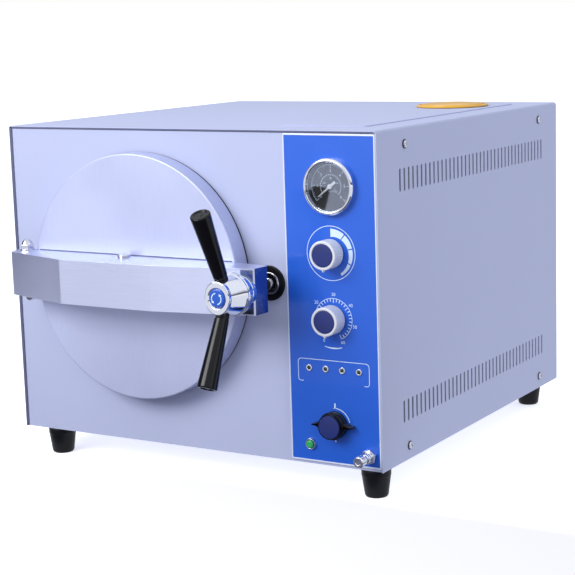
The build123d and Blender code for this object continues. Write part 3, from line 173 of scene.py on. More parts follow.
LAVENDER = (0.47, 0.51, 0.71)
STEEL = (0.68, 0.72, 0.92)
FINISHES = {
    "case_paint": finish("case_paint", LAVENDER, 0.55, grain=1400, vary=0.025, bump=0.06, ior=1.38),
    # Dark slate used only for painted shade: the cover's edge strips and the lines along the cross bar.
    "painted_slate_shade": finish("painted_slate_shade", (0.10, 0.11, 0.20), 0.5, grain=1500, vary=0.1),
    "fascia_blue": finish("fascia_blue", (0.006, 0.108, 0.64), 0.42, grain=1800, vary=0.04, bump=0.03,
                          coat=0.25),
    "trim_white": finish("trim_white", (0.74, 0.80, 0.93), 0.35, grain=1500, vary=0.03),
    "screw_steel": finish("screw_steel", (0.72, 0.73, 0.78), 0.16, 1.0, grain=2500, vary=0.05),
    "rubber_black": finish("rubber_black", (0.003, 0.003, 0.005), 0.4, grain=2200, vary=0.25, bump=0.2,
                           ior=1.35),
    "silicone": finish("silicone", (0.62, 0.20, 0.13), 0.5, grain=1600, vary=0.08, bump=0.12),
    "frame_steel": finish("frame_steel", (0.46, 0.47, 0.50), 0.42, 1.0, grain=700, vary=0.12,
                          second=(0.62, 0.63, 0.66), second_scale=70),
    "stainless": finish("stainless", (0.60, 0.61, 0.64), 0.24, 1.0, grain=420, stretch=(1, 0.04, 1),
                        bump=0.08),
    "door_brushed": finish("door_brushed", (0.54, 0.58, 0.80), 0.42, 0.4, grain=260, stretch=(4.2, 1, 0.16),
                           vary=0.07, rough_vary=0.1, bump=0.12),
    "brushed_stainless": finish("brushed_stainless", STEEL, 0.34, 0.85, grain=320, stretch=(0.1, 1, 4.5),
                                vary=0.06, rough_vary=0.08, bump=0.12),
    # Dark navy polished steel for the bar's right end and nose: a painted reflection of the blue fascia in
    # shade.
    "fascia_reflection_steel": finish("fascia_reflection_steel", (0.20, 0.24, 0.40), 0.16, 1.0, grain=320, stretch=(1, 0.1, 4.5), bump=0.05),
    "washer_dark": finish("washer_dark", (0.09, 0.09, 0.12), 0.22, 1.0, grain=2000, vary=0.1),
    "door_core": finish("door_core", (0.42, 0.43, 0.45), 0.38, 1.0, grain=500, vary=0.1),
    "polished_steel": finish("polished_steel", (0.72, 0.73, 0.77), 0.14, 1.0, grain=1500, vary=0.05,
                             bump=0.02),
    "chrome": finish("chrome", (0.83, 0.85, 0.90), 0.06, 1.0, grain=1200, vary=0.03, rough_vary=0.03,
                     bump=0.01),
    "lever_black": finish("lever_black", (0.002, 0.002, 0.003), 0.16, grain=1600, vary=0.3, bump=0.03,
                          ior=1.36),
    "cap_blue": finish("cap_blue", (0.010, 0.024, 0.17), 0.42, grain=1500, vary=0.12, bump=0.12,
                       second=(0.016, 0.024, 0.12), second_scale=160),
    "knob_white": finish("knob_white", (0.72, 0.74, 0.80), 0.38, grain=1700, vary=0.04, bump=0.12),
    "insulation": finish("insulation", (0.66, 0.65, 0.62), 0.85, grain=260, vary=0.15, bump=0.6,
                         second=(0.50, 0.49, 0.46), second_scale=90),
    "tank_plastic": finish("tank_plastic", (0.74, 0.76, 0.76), 0.42, grain=900, vary=0.04, bump=0.08),
    "filler_yellow": finish("filler_yellow", (0.80, 0.44, 0.03), 0.34, grain=1300, vary=0.05, bump=0.08,
                            coat=0.2),
    "copper_pipe": finish("copper_pipe", (0.72, 0.36, 0.22), 0.28, 1.0, grain=500, vary=0.12,
                          second=(0.42, 0.20, 0.13), second_scale=60),
    "brass_fitting": finish("brass_fitting", (0.74, 0.55, 0.25), 0.26, 1.0, grain=700, vary=0.08,
                            second=(0.50, 0.35, 0.15), second_scale=80),
    "dark_plastic": finish("dark_plastic", (0.018, 0.018, 0.020), 0.42, grain=1500, vary=0.2, bump=0.2),
    "dial_print": finish("dial_print", (0.010, 0.010, 0.013), 0.45, grain=1600, vary=0.2, bump=0.05),
    "pointer_white": finish("pointer_white", (0.85, 0.87, 0.90), 0.35, grain=1500, vary=0.03),
    "clear_glass": finish("clear_glass", (0.74, 0.82, 1.0), 0.03, 1.0, grain=300, vary=0.04,
                          rough_vary=0.015, bump=0.0, alpha=0.17),
    "lamp_green": finish("lamp_green", (0.003, 0.028, 0.010), 0.16, grain=800, vary=0.2, bump=0.02, coat=0.5),
    "button_green": finish("button_green", (0.03, 0.42, 0.12), 0.25, grain=900, vary=0.1, bump=0.03,
                           coat=0.4),
    "print_white": finish("print_white", (0.66, 0.80, 0.95), 0.4, grain=1500, vary=0.05),
    "print_blue": finish("print_blue", (0.008, 0.09, 0.50), 0.35, grain=1500, vary=0.06),
}


# ---------------------------------------------------------------- outlines
def rounded(outline, closed=True, steps=5):
    """Points of an outline whose corners (a, b, radius) are rounded; (a, b) stays sharp."""
    points = []
    count = len(outline)
    for i, corner in enumerate(outline):
        here = Vector(corner[:2])
        radius = corner[2] if len(corner) > 2 else 0
        if radius == 0 or (not closed and i in (0, count - 1)):
            points.append(here)
            continue
        back = Vector(outline[i - 1][:2]) - here
        on = Vector(outline[(i + 1) % count][:2]) - here
        half = back.angle(on) / 2
        reach = min(radius / math.tan(half), 0.48 * back.length, 0.48 * on.length)
        radius = reach * math.tan(half)
        centre = here + (back.normalized() + on.normalized()).normalized() * (radius / math.sin(half))
        start = here + back.normalized() * reach - centre
        end = here + on.normalized() * reach - centre
        sweep = math.atan2(start.x * end.y - start.y * end.x, start.dot(end))
        points += [centre + Matrix.Rotation(sweep * k / steps, 2) @ start for k in range(steps + 1)]
    return points


def arc(centre, radius, start, end, steps=12):
    """Points of an arc, angles in degrees, counter-clockwise from +x."""
    angles = [math.radians(start + (end - start) * k / steps) for k in range(steps + 1)]
    return [Vector((centre[0] + radius * math.cos(a), centre[1] + radius * math.sin(a))) for a in angles]


def sector(centre, inner, outer, start, end, steps=24):
    """Outline of a piece of a ring; inner and outer are radii, or pairs that change from start to end."""
    def spiral(radii, way):
        first, last = radii if isinstance(radii, tuple) else (radii, radii)
        shares = [k / steps for k in range(steps + 1)][::way]
        angles = [math.radians(start + (end - start) * s) for s in shares]
        lengths = [first + (last - first) * s for s in shares]
        return [Vector((centre[0] + r * math.cos(a), centre[1] + r * math.sin(a)))
                for r, a in zip(lengths, angles)]
    return spiral(outer, 1) + spiral(inner, -1)


def stroke(points, width):
    """Outline of a line of constant width along points."""
    points = [Vector(p[:2]) for p in points]
    sides = []
    for i in range(len(points)):
        before = points[max(i - 1, 0)]
        after = points[min(i + 1, len(points) - 1)]
        along = (after - before).normalized()
        sides.append(Vector((-along.y, along.x)) * width / 2)
    return [p + s for p, s in zip(points, sides)] + [p - s for p, s in zip(points, sides)][::-1]


# ---------------------------------------------------------------- meshes
def finished(name, shape):
    """Object made from a bmesh, shaded by smoothed."""
    bmesh.ops.recalc_face_normals(shape, faces=shape.faces)
    mesh = bpy.data.meshes.new(name)
    shape.to_mesh(mesh)
    shape.free()
    made = bpy.data.objects.new(name, mesh)
    bpy.context.scene.collection.objects.link(made)
    smoothed(made)
    return made


def baked(piece):
    """Apply a piece's modifiers to its mesh."""
    bpy.context.view_layer.update()
    piece.data = bpy.data.meshes.new_from_object(piece.evaluated_get(bpy.context.evaluated_depsgraph_get()))
    piece.modifiers.clear()


def smoothed(piece):
    """Shade smoothly but keep flat faces flat, and edges sharp where they turn by more than SHARP_ANGLE."""
    piece.data.shade_smooth()
    piece.data.set_sharp_from_angle(angle=SHARP_ANGLE)
    tool = piece.modifiers.new("normals", "WEIGHTED_NORMAL")
    tool.keep_sharp = True
    baked(piece)


def turned(shape, centre, profile, way=FORWARD, around=96, wave=None):
    """Add a piece turned about an axis; profile points are (radius, distance[, corner radius]), in mm."""
    centre = Vector(centre)
    side = way.orthogonal().normalized()
    across = way.cross(side)
    rings = []
    for radius, height in rounded(profile, closed=profile[0][0] > 0):
        base = centre + way * (height * MM)
        if radius < 1e-6:
            rings.append([shape.verts.new(base)])
            continue
        ring = []
        for k in range(around):
            angle = 2 * math.pi * k / around
            reach = radius if wave is None else wave(radius, height, angle)
            spoke = side * math.cos(angle) + across * math.sin(angle)
            ring.append(shape.verts.new(base + spoke * (reach * MM)))
        rings.append(ring)
    pairs = list(zip(rings, rings[1:]))
    if profile[0][0] > 0:
        pairs.append((rings[-1], rings[0]))
    for first, second in pairs:
        for k in range(around):
            n = (k + 1) % around
            corners = (first[k % len(first)], first[n % len(first)],
                       second[n % len(second)], second[k % len(second)])
            unique = list(dict.fromkeys(corners))
            if len(unique) > 2:
                shape.faces.new(unique)


def prism(shape, outline, place, low, high, edge=0.0):
    """Add a flat piece: an outline in mm, put in the frame by place(a, b, height), with a bevelled edge."""
    outline = [Vector(p[:2]) for p in outline]
    levels = [(low, 0.0), (high, 0.0)]
    if edge > 0:
        levels = [(low, 0.0), (high - edge, 0.0), (high - 0.3 * edge, 0.3 * edge), (high, edge)]
    area = sum(a.x * b.y - a.y * b.x for a, b in zip(outline, outline[1:] + outline[:1]))
    turn = 1 if area > 0 else -1
    rings = []
    for height, inset in levels:
        ring = []
        for i, here in enumerate(outline):
            back = (here - outline[i - 1]).normalized()
            on = (outline[(i + 1) % len(outline)] - here).normalized()
            inward = Vector((-(back + on).y, (back + on).x)) * turn
            if inward.length > 1e-9:
                mitre = inset / max(0.3, math.cos(back.angle(on, 0) / 2))
                inward = inward.normalized() * min(mitre, 3 * inset)
            point = here + inward if inset else here
            ring.append(shape.verts.new(place(point.x, point.y, height)))
        rings.append(ring)
    for first, second in zip(rings, rings[1:]):
        for k in range(len(first)):
            n = (k + 1) % len(first)
            shape.faces.new((first[k], first[n], second[n], second[k]))
    shape.faces.new(rings[0])
    shape.faces.new(rings[-1])


def on_front(x, z, distance):
    """Place for prism: x, z and the distance ahead of the front panel, mm."""
    return Vector((x * MM, FRONT - distance * MM, z * MM))


def from_above(x, distance, z):
    """Place for prism: x, the distance ahead of the front panel and the height z, mm."""
    return Vector((x * MM, FRONT - distance * MM, z * MM))


def hexagon(radius, turn=0.0, corner=0.0):
    """Outline of a hexagon with rounded corners, round (0, 0)."""
    angles = [math.radians(60 * k + turn) for k in range(6)]
    return rounded([(radius * math.cos(a), radius * math.sin(a), corner) for a in angles], steps=3)


def cut(piece, shape):
    """Cut the solid in shape out of piece."""
    cutter = finished("cutter", shape)
    tool = piece.modifiers.new("cut", "BOOLEAN")
    tool.operation = "DIFFERENCE"
    tool.solver = "EXACT"
    tool.object = cutter
    baked(piece)
    smoothed(piece)
    bpy.data.objects.remove(cutter)


def bevelled(piece, width, segments, angle):
    """Round a piece's edges that turn by more than an angle."""
    tool = piece.modifiers.new("edges", "BEVEL")
    tool.width = width * MM
    tool.segments = segments
    tool.limit_method = "ANGLE"
    tool.angle_limit = math.radians(angle)
    baked(piece)
    smoothed(piece)


def written(shape, text, centre, size, low, high):
    """Add figures as thin raised print on the front, centred on (x, z)."""
    curve = bpy.data.curves.new("figures", "FONT")
    curve.body = text
    curve.size = size * MM
    curve.align_x = "CENTER"
    curve.align_y = "CENTER"
    curve.extrude = (high - low) / 2 * MM
    curve.resolution_u = 3
    holder = bpy.data.objects.new("figures", curve)
    bpy.context.scene.collection.objects.link(holder)
    bpy.context.view_layer.update()
    mesh = bpy.data.meshes.new_from_object(holder.evaluated_get(bpy.context.evaluated_depsgraph_get()))
    upright = Matrix.Rotation(math.radians(90), 4, "X")
    mesh.transform(Matrix.Translation(on_front(centre[0], centre[1], (low + high) / 2)) @ upright)
    shape.from_mesh(mesh)
    bpy.data.objects.remove(holder)
    bpy.data.meshes.remove(mesh)


def add(piece, body, look, slot, *nodes):
    """Give a finished piece its look, its body and the CAD nodes it stands for. The slot argument is not used.
    """
    piece.data.materials.clear()
    piece.data.materials.append(FINISHES[look])
    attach(piece, body)
    if nodes:
        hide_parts(*nodes)


def turned_piece(name, centre, profile, body, look, slot, *nodes, **options):
    """One turned piece, finished and riding on its body."""
    shape = bmesh.new()
    turned(shape, centre, profile, **options)
    add(finished(name, shape), body, look, slot, *nodes)


# ---------------------------------------------------------------- CAD nodes that stay
def paint_frame():
    """Give every CAD node the finish of its material slot."""
    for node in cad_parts.values():
        slot = node.data.materials[0].name.split(".")[0]
        node.data.materials.clear()
        node.data.materials.append(FINISHES[slot])


# ---------------------------------------------------------------- door and cross bar
DOOR_RADIUS = 136.5
DOOR_FACE = 25.0
DOOR_BACK = 2.5
DOOR_SHEET = 1.5
BAR_WALL = 3.0
HINGE_EAR = 13.0
SPINDLE_HOLE = 9.05
NOSE_START = 0.875
NOSE_END = 0.99
NOSE_INSET = 1.4


def door_disc():
    profile = [
        (0, DOOR_FACE),
        (DOOR_RADIUS, DOOR_FACE, 1.6),
        (DOOR_RADIUS, DOOR_BACK, 0.5),
        (DOOR_RADIUS - DOOR_SHEET, DOOR_BACK),
        (DOOR_RADIUS - DOOR_SHEET, DOOR_FACE - DOOR_SHEET),
        (0, DOOR_FACE - DOOR_SHEET),
    ]
    turned_piece("door_disc", ahead_of(DOOR, 0), profile, "door", "door_brushed", "brushed_stainless",
                 "door_cover", around=192)
    # Black ring in the recess between the disc's rim and the front panel: painted shade, where there is only
    # shadow.
    shade_ring_profile = [(132.5, 0.4), (136.2, 0.4), (136.2, 2.4), (132.5, 2.4)]
    turned_piece("door_shade_ring", ahead_of(DOOR, 0), shade_ring_profile, "door", "rubber_black", "rubber_black", around=192)


def cross_bar():
    """Bent sheet channel across the door, with holes for its two pins and the spindle."""
    low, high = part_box("crossbar")
    left = low.x / MM
    right = high.x / MM
    front = (FRONT - low.y) / MM
    base = low.z / MM
    top = high.z / MM
    hinge = Vector((left + HINGE_EAR, front - 46.4))
    outline = [(left, hinge.y + 4), (left + 4.5, front - 27.9, 3), (left + 96, front, 9)]
    outline += [(right - 119.5, front, 9), (right - 2, front - 19.9, 3), (right, front - 43.4, 2)]
    outline += [(right - 43.5, DOOR_FACE, 1), (left + 22.2, DOOR_FACE), (left + 20, DOOR_FACE - 6)]
    ear = arc(hinge, HINGE_EAR, -58, -190, 18)
    shape = bmesh.new()
    prism(shape, rounded(outline) + ear, from_above, base, top)
    bar = finished("cross_bar", shape)
    bevelled(bar, 1.9, segments=4, angle=60)
    pocket = [(left - 30, 10), (left - 30, 35), (left + 96.5, front - BAR_WALL, 7)]
    pocket += [(right - 119.8, front - BAR_WALL, 7), (right - 5, front - BAR_WALL - 19.4, 2)]
    pocket += [(right - 2.5, 10)]
    hollow = bmesh.new()
    prism(hollow, rounded(pocket), from_above, base + BAR_WALL, top - BAR_WALL)
    cut(bar, hollow)
    holes = bmesh.new()
    hinge_axis = Vector((hinge.x * MM, FRONT - hinge.y * MM, 0))
    turned(holes, hinge_axis, [(0, 0), (4.5, 0), (4.5, 400), (0, 400)], UP, 32)
    pin_low, pin_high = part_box("centre_pin")
    pin = Vector(((pin_low.x + pin_high.x) / 2, (pin_low.y + pin_high.y) / 2, 0))
    turned(holes, pin, [(0, 0), (4, 0), (4, 400), (0, 400)], UP, 32)
    turned(holes, ahead_of(LOCK, 50), [(0, 0), (SPINDLE_HOLE, 0), (SPINDLE_HOLE, 40), (0, 40)], FORWARD, 48)
    cut(bar, holes)
    add(bar, "door", "brushed_stainless", "brushed_stainless", "crossbar")
    # The bar's right end faces get the painted reflection of the blue fascia.
    bar.data.materials.append(FINISHES["fascia_reflection_steel"])
    for face in bar.data.polygons:
        if face.normal.x > 0.9 and face.center.x > high.x - 3 * MM:
            face.material_index = 1
    # Thin dark plate on the bar's front near its right end: painted reflection.
    along = Vector((117.5, -19.9))
    knee = Vector((right - 119.5, front))
    reflection_plate = bmesh.new()
    start = knee + along * NOSE_START
    end = knee + along * NOSE_END
    lift = Vector((0.05, 0.3))
    prism(reflection_plate, [start, end, end + lift, start + lift], from_above, base + NOSE_INSET, top - NOSE_INSET)
    add(finished("bar_nose_reflection", reflection_plate), "door", "fascia_reflection_steel", "brushed_stainless")
    # Thin dark strips on the disc's face along the bar's top and bottom edges: painted shade where the bar
    # meets the disc.
    shade_lines = bmesh.new()
    for edge_z, way in ((top, 1), (base, -1)):
        reach = math.sqrt((DOOR_RADIUS - 3.4) ** 2 - (edge_z + way - DOOR[1]) ** 2)
        line = [(DOOR[0] - reach, edge_z), (DOOR[0] + reach, edge_z), (DOOR[0] + reach, edge_z + way * 1.1),
                (DOOR[0] - reach, edge_z + way * 1.1)]
        prism(shade_lines, line, on_front, DOOR_FACE + 0.02, DOOR_FACE + 0.22)
    add(finished("bar_shade_lines", shade_lines), "door", "painted_slate_shade", "rubber_black")
    bush = [(SPINDLE_HOLE, 36), (13, 36, 0.5), (13, 55), (18.2, 55), (18.2, 60.4, 0.4), (17.4, 61.0, 0.2),
            (18.2, 61.6, 0.4), (18.2, 63.9, 0.7), (SPINDLE_HOLE, 63.9)]
    turned_piece("spindle_bush", ahead_of(LOCK, 0), bush, "door", "chrome", "polished_steel", around=128)


def pins():
    low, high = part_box("hinge_pin")
    centre = Vector(((low.x + high.x) / 2, (low.y + high.y) / 2, 0))
    bar_low, bar_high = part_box("crossbar")
    shape = bmesh.new()
    bar_foot = bar_low.z / MM
    bar_top = bar_high.z / MM
    turned(shape, centre, [(0, bar_foot), (4.5, bar_foot), (4.5, bar_top), (0, bar_top)], UP, 32)
    for start, end, way in ((bar_high.z, high.z, 1), (bar_low.z, low.z, -1)):
        face = start / MM
        tall = (end - start) / MM * way
        nut_top = tall - 5.4
        washer = face + way * 1.6
        turned(shape, centre, [(0, face), (8.4, face), (8.4, washer, 0.4), (0, washer)], UP, 48)

        def flat(a, b, height):
            return centre + Vector((a * MM, b * MM, (face + way * height) * MM))

        prism(shape, hexagon(8.0, 12, 0.5), flat, 1.6, nut_top, edge=0.7)
        neck = face + way * (nut_top - 1)
        dome = [(0, neck), (6.6, neck), (6.6, face + way * nut_top)]
        dome += [(p.x, face + way * p.y) for p in arc((0, nut_top), 6.2, 8, 84, 10)]
        dome = [(r, face + way * min(abs(h - face), tall)) for r, h in dome]
        turned(shape, centre, dome + [(0, face + way * tall)], UP, 48)
    add(finished("hinge_bolt", shape), "door", "polished_steel", "polished_steel", "hinge_pin")

    low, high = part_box("centre_pin")
    centre = Vector(((low.x + high.x) / 2, (low.y + high.y) / 2, 0))
    head = high.z / MM
    shape = bmesh.new()
    turned(shape, centre, [(0, bar_foot), (4, bar_foot), (4, head - 3.4), (7, head - 3.4, 0.3),
                           (7, head, 2.0), (2.2, head, 0.3), (1.6, head - 0.5), (0, head - 0.5)], UP, 64)

    def below(a, b, height):
        return centre + Vector((a * MM, b * MM, bar_low.z - height * MM))

    prism(shape, hexagon(7.0, 0, 0.4), below, 0, 5, edge=0.6)
    add(finished("pivot_bolt", shape), "door", "polished_steel", "polished_steel", "centre_pin")


# ---------------------------------------------------------------- handwheel and lock
HUB_BACK = 69.3
HUB_FRONT = 102.0
LEVER_SPLAY = math.radians(25.4)
LEVER_LENGTH = 81.3
LEVER_ROOT = 90.4
ARROW_BACK = 102.2
ARROW_FRONT = 102.46


def handwheel():
    hub = [(9, HUB_BACK), (21, HUB_BACK, 0.6), (22.6, HUB_BACK + 1.8, 0.8), (22.6, 74.2, 0.5),
           (21.5, 75.0, 0.3), (22.4, 75.8, 0.5), (22.4, 77.4, 0.8), (21.2, 78.6, 0.6), (17.1, 96.4, 0.8),
           (17.6, 97.8, 0.6), (17.6, HUB_FRONT, 1.4), (11.2, HUB_FRONT, 0.7), (9.4, HUB_FRONT - 1.4),
           (9, HUB_FRONT - 1.4)]
    turned_piece("wheel_hub", ahead_of(LOCK, 0), hub, "handwheel", "chrome", "chrome", "handwheel_hub",
                 around=128, wave=waisted)
    for name, way in (("lever_upper", 1), ("lever_lower", -1)):
        run = Vector((0, -math.sin(LEVER_SPLAY), way * math.cos(LEVER_SPLAY)))
        root = ahead_of((LOCK[0], LOCK[1] + way * 15.0), LEVER_ROOT)
        profile = [(0, 0), (6.8, 0), (7.2, 6, 0.6), (7.0, 7.2, 0.4), (7.5, 8.6, 0.6),
                   (10.7, LEVER_LENGTH, 2.9), (7.6, LEVER_LENGTH, 0.8), (6.8, LEVER_LENGTH - 1.0, 0.6),
                   (2.6, LEVER_LENGTH - 1.0, 0.3), (2.2, LEVER_LENGTH - 0.5, 0.2), (0, LEVER_LENGTH - 0.5)]
        turned_piece(name, root, profile, "handwheel", "lever_black", "lever_black", "levers",
                     way=run, around=80)
    turned_piece("spindle_rod", ahead_of(LOCK, 0),
                 [(0, -6), (5.5, -6), (7, -4.5, 0.3), (7, 30), (9, 32), (9, 100.6), (0, 100.6)], "handwheel",
                 "polished_steel", "polished_steel", "spindle", wave=thread)
    turned_piece("hub_badge", ahead_of(LOCK, 0),
                 [(0, 100.2), (9.2, 100.2), (9.2, 101.6, 0.6), (8.2, 102.2, 0.4), (0, 102.4)], "handwheel",
                 "print_blue", "cap_blue", "hub_cap")
    arrows = bmesh.new()
    for start in (100, 280):
        prism(arrows, sector(LOCK, 5.2, 6.2, start, start + 112), on_front, ARROW_BACK, ARROW_FRONT)
        tip = arc(LOCK, 5.7, start + 112, start + 140, 1)[1]
        base = arc(LOCK, 4.1, start + 112, start + 113, 1)[0]
        crown = arc(LOCK, 7.3, start + 112, start + 113, 1)[0]
        prism(arrows, [base, crown, tip], on_front, ARROW_BACK, ARROW_FRONT)
    add(finished("turning_arrows", arrows), "handwheel", "print_white", "cap_blue")
    turned_piece("thrust_ring", ahead_of(LOCK, 0),
                 [(SPINDLE_HOLE, 64.3), (18, 64.3, 0.4), (20.5, 65.8, 0.5), (20.5, 69.0, 0.4),
                  (SPINDLE_HOLE, 69.0)],
                 "thrust_carrier", "chrome", "polished_steel", "thrust_collar")


def waisted(radius, height, angle):
    """Radius of the hub, narrowed sideways toward its front, between the levers."""
    share = min(1.0, max(0.0, (height - 80) / 16))
    across = FORWARD.orthogonal().normalized()
    sideways = abs(math.cos(angle) * across.x + math.sin(angle) * FORWARD.cross(across).x)
    return radius if radius < 12 else radius * (1 - 0.16 * share * sideways ** 2)


def thread(radius, height, angle):
    """Radius of the spindle with a fine helical ripple on its threaded end."""
    if radius > 7.01 or height > 30:
        return radius
    return radius - 0.3 * (0.5 + 0.5 * math.cos(angle - 2 * math.pi * height / 2.5))


def lock_socket():
    low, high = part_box("lock_grommet")
    rim = (high.x - low.x) / 2 / MM
    turned_piece("socket_grommet", ahead_of(LOCK, 0),
                 [(12.4, -1.5), (12.4, 2.2, 0.8), (rim, 2.2, 1.4), (rim, 0.05), (14.4, 0.05), (14.4, -1.5)],
                 "cabinet", "rubber_black", "rubber_black", "lock_grommet")
    turned_piece("socket_nut", ahead_of(LOCK, 0),
                 [(8.3, -15.4), (8.3, -1), (9.6, 1.2, 0.5), (10.2, 2, 0.3), (12, 2, 1.0), (12, -9.5),
                  (18, -9.5), (18, -15.4)],
                 "cabinet", "polished_steel", "polished_steel", "lock_nut")


# ---------------------------------------------------------------- fascia trim and print
PRINT_BACK = 1.15
PRINT_FRONT = 1.26


def cover_edge():
    """Painted shade: dark strips along the front of the cover, at its left side and over the front panel."""
    cover_low, cover_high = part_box("outer_cover")
    ahead = (FRONT - cover_low.y) / MM
    left = cover_low.x / MM
    right = cover_high.x / MM
    low = cover_low.z / MM + 0.3
    top = cover_high.z / MM
    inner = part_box("front_panel")[0].x / MM - 0.1
    side = [(left + 0.5, low), (inner, low), (inner, top - 1.2), (left + 0.5, top - 1.2)]
    crest = [(left + 1.2, top - 2.6), (right - 3.0, top - 2.6), (right - 3.0, top - 1.1),
             (left + 1.2, top - 1.1)]
    shape = bmesh.new()
    for strip in (side, crest):
        prism(shape, strip, on_front, ahead + 0.02, ahead + 0.25, edge=0.1)
    add(finished("cover_edge", shape), "cabinet", "painted_slate_shade", "case_paint")


def fascia_edge():
    """White moulded strip round the fascia."""
    low_x, high_x = FASCIA_LOW.x / MM, FASCIA_HIGH.x / MM
    low_z, high_z = FASCIA_LOW.z / MM, FASCIA_HIGH.z / MM
    shape = bmesh.new()
    rings = []
    section = ((0.0, 0.0), (0.0, 1.3), (0.25, 1.55), (0.7, 1.6), (1.1, 1.55), (1.5, 1.2), (1.6, 0.0))
    for out, height in section:
        corner = 0.4 + out
        rise = out * 1.18
        outline = [(low_x - out, low_z - rise, corner), (high_x + out, low_z - rise, corner),
                   (high_x + out, high_z + rise, corner), (low_x - out, high_z + rise, corner)]
        rings.append([shape.verts.new(on_front(p.x, p.y, height)) for p in rounded(outline)])
    for first, second in zip(rings, rings[1:] + rings[:1]):
        for k in range(len(first)):
            n = (k + 1) % len(first)
            shape.faces.new((first[k], first[n], second[n], second[k]))
    add(finished("fascia_edge", shape), "cabinet", "trim_white", "trim_white", "fascia_trim")


def tick(shape, centre, angle, inner, outer, width, low=PRINT_BACK, high=PRINT_FRONT):
    """Printed radial line of a scale."""
    ends = [arc(centre, radius, angle, angle + 1, 1)[0] for radius in (inner, outer)]
    prism(shape, stroke(ends, width), on_front, low, high)


def pressure_scale():
    shape = bmesh.new()
    for k in range(4):
        prism(shape, sector(PRESSURE, 28.2, 28.9, 90 * k, 90 * k + 90), on_front, PRINT_BACK, PRINT_FRONT)
    segments = ((90, 52, 17.2, 19.0), (49, 14, 19.2, 20.6), (11, -24, 20.8, 21.8), (-27, -62, 21.9, 23.2))
    for start, end, first, last in segments:
        prism(shape, sector(PRESSURE, (first, last), 25.8, start, end), on_front, PRINT_BACK, PRINT_FRONT)
    add(finished("pressure_scale", shape), "cabinet", "print_white", "trim_white")


def timer_scale():
    """Minutes from 0 to 60, clockwise from seven o'clock."""
    centre = (TIMER[0] + 1.0, TIMER[1])
    zero = -116.8
    per_minute = 5.15
    shape = bmesh.new()
    circle = sector(centre, 21.9, 22.5, zero - 60 * per_minute, zero, 72)
    prism(shape, circle, on_front, PRINT_BACK, PRINT_FRONT)
    for minute in range(0, 61, 2):
        angle = zero - minute * per_minute
        tick(shape, centre, angle, 17.6 if minute % 10 == 0 else 18.8, 22.2, 0.85)
    for minute in range(0, 61, 10):
        spot = arc(centre, 26.2, zero - minute * per_minute, 0, 1)[0]
        written(shape, str(minute), spot, 5.0, PRINT_BACK, PRINT_FRONT)
    low_point = (centre[0] - 0.5, centre[1] - 2.0)
    halves = ((-112, -90, (28.9, 28.0)), (-90, -70, (28.0, 28.8)))
    for start, end, inner in halves:
        prism(shape, sector(low_point, inner, 29.6, start, end, 12), on_front, PRINT_BACK, PRINT_FRONT)
    add(finished("timer_scale", shape), "cabinet", "print_white", "trim_white")


def lamp_frame():
    """Thin printed frame round the four lamps, open at the bottom."""
    low_x, high_x = LAMPS[0][0] - 13.5, LAMPS[-1][0] + 12.0
    low_z, high_z = LAMPS[0][1] - 14.4, LAMPS[0][1] + 9.6
    line = [(low_x + 6, low_z), (low_x, low_z, 4), (low_x, high_z, 4), (high_x, high_z, 4),
            (high_x, low_z, 4), (high_x - 6, low_z)]
    shape = bmesh.new()
    prism(shape, stroke(rounded(line, closed=False), 0.7), on_front, PRINT_BACK, PRINT_FRONT)
    add(finished("lamp_frame", shape), "cabinet", "print_white", "trim_white")


def selector_scale():
    shape = bmesh.new()
    prism(shape, sector(SELECTOR, 17.2, 18.1, 12, 96, 30), on_front, PRINT_BACK, PRINT_FRONT)
    tick(shape, SELECTOR, 90, 17.4, 23.0, 1.7)
    prism(shape, arc((SELECTOR[0], SELECTOR[1] - 18.0), 1.0, 0, 345, 23), on_front, PRINT_BACK, PRINT_FRONT)
    add(finished("selector_scale", shape), "cabinet", "print_white", "trim_white")


# ---------------------------------------------------------------- pressure gauge
GAUGE_START = 222
GAUGE_SWEEP = 264
POINTER_REST = math.radians(218.0)
MARK_BACK = 0.55
MARK_FRONT = 0.7


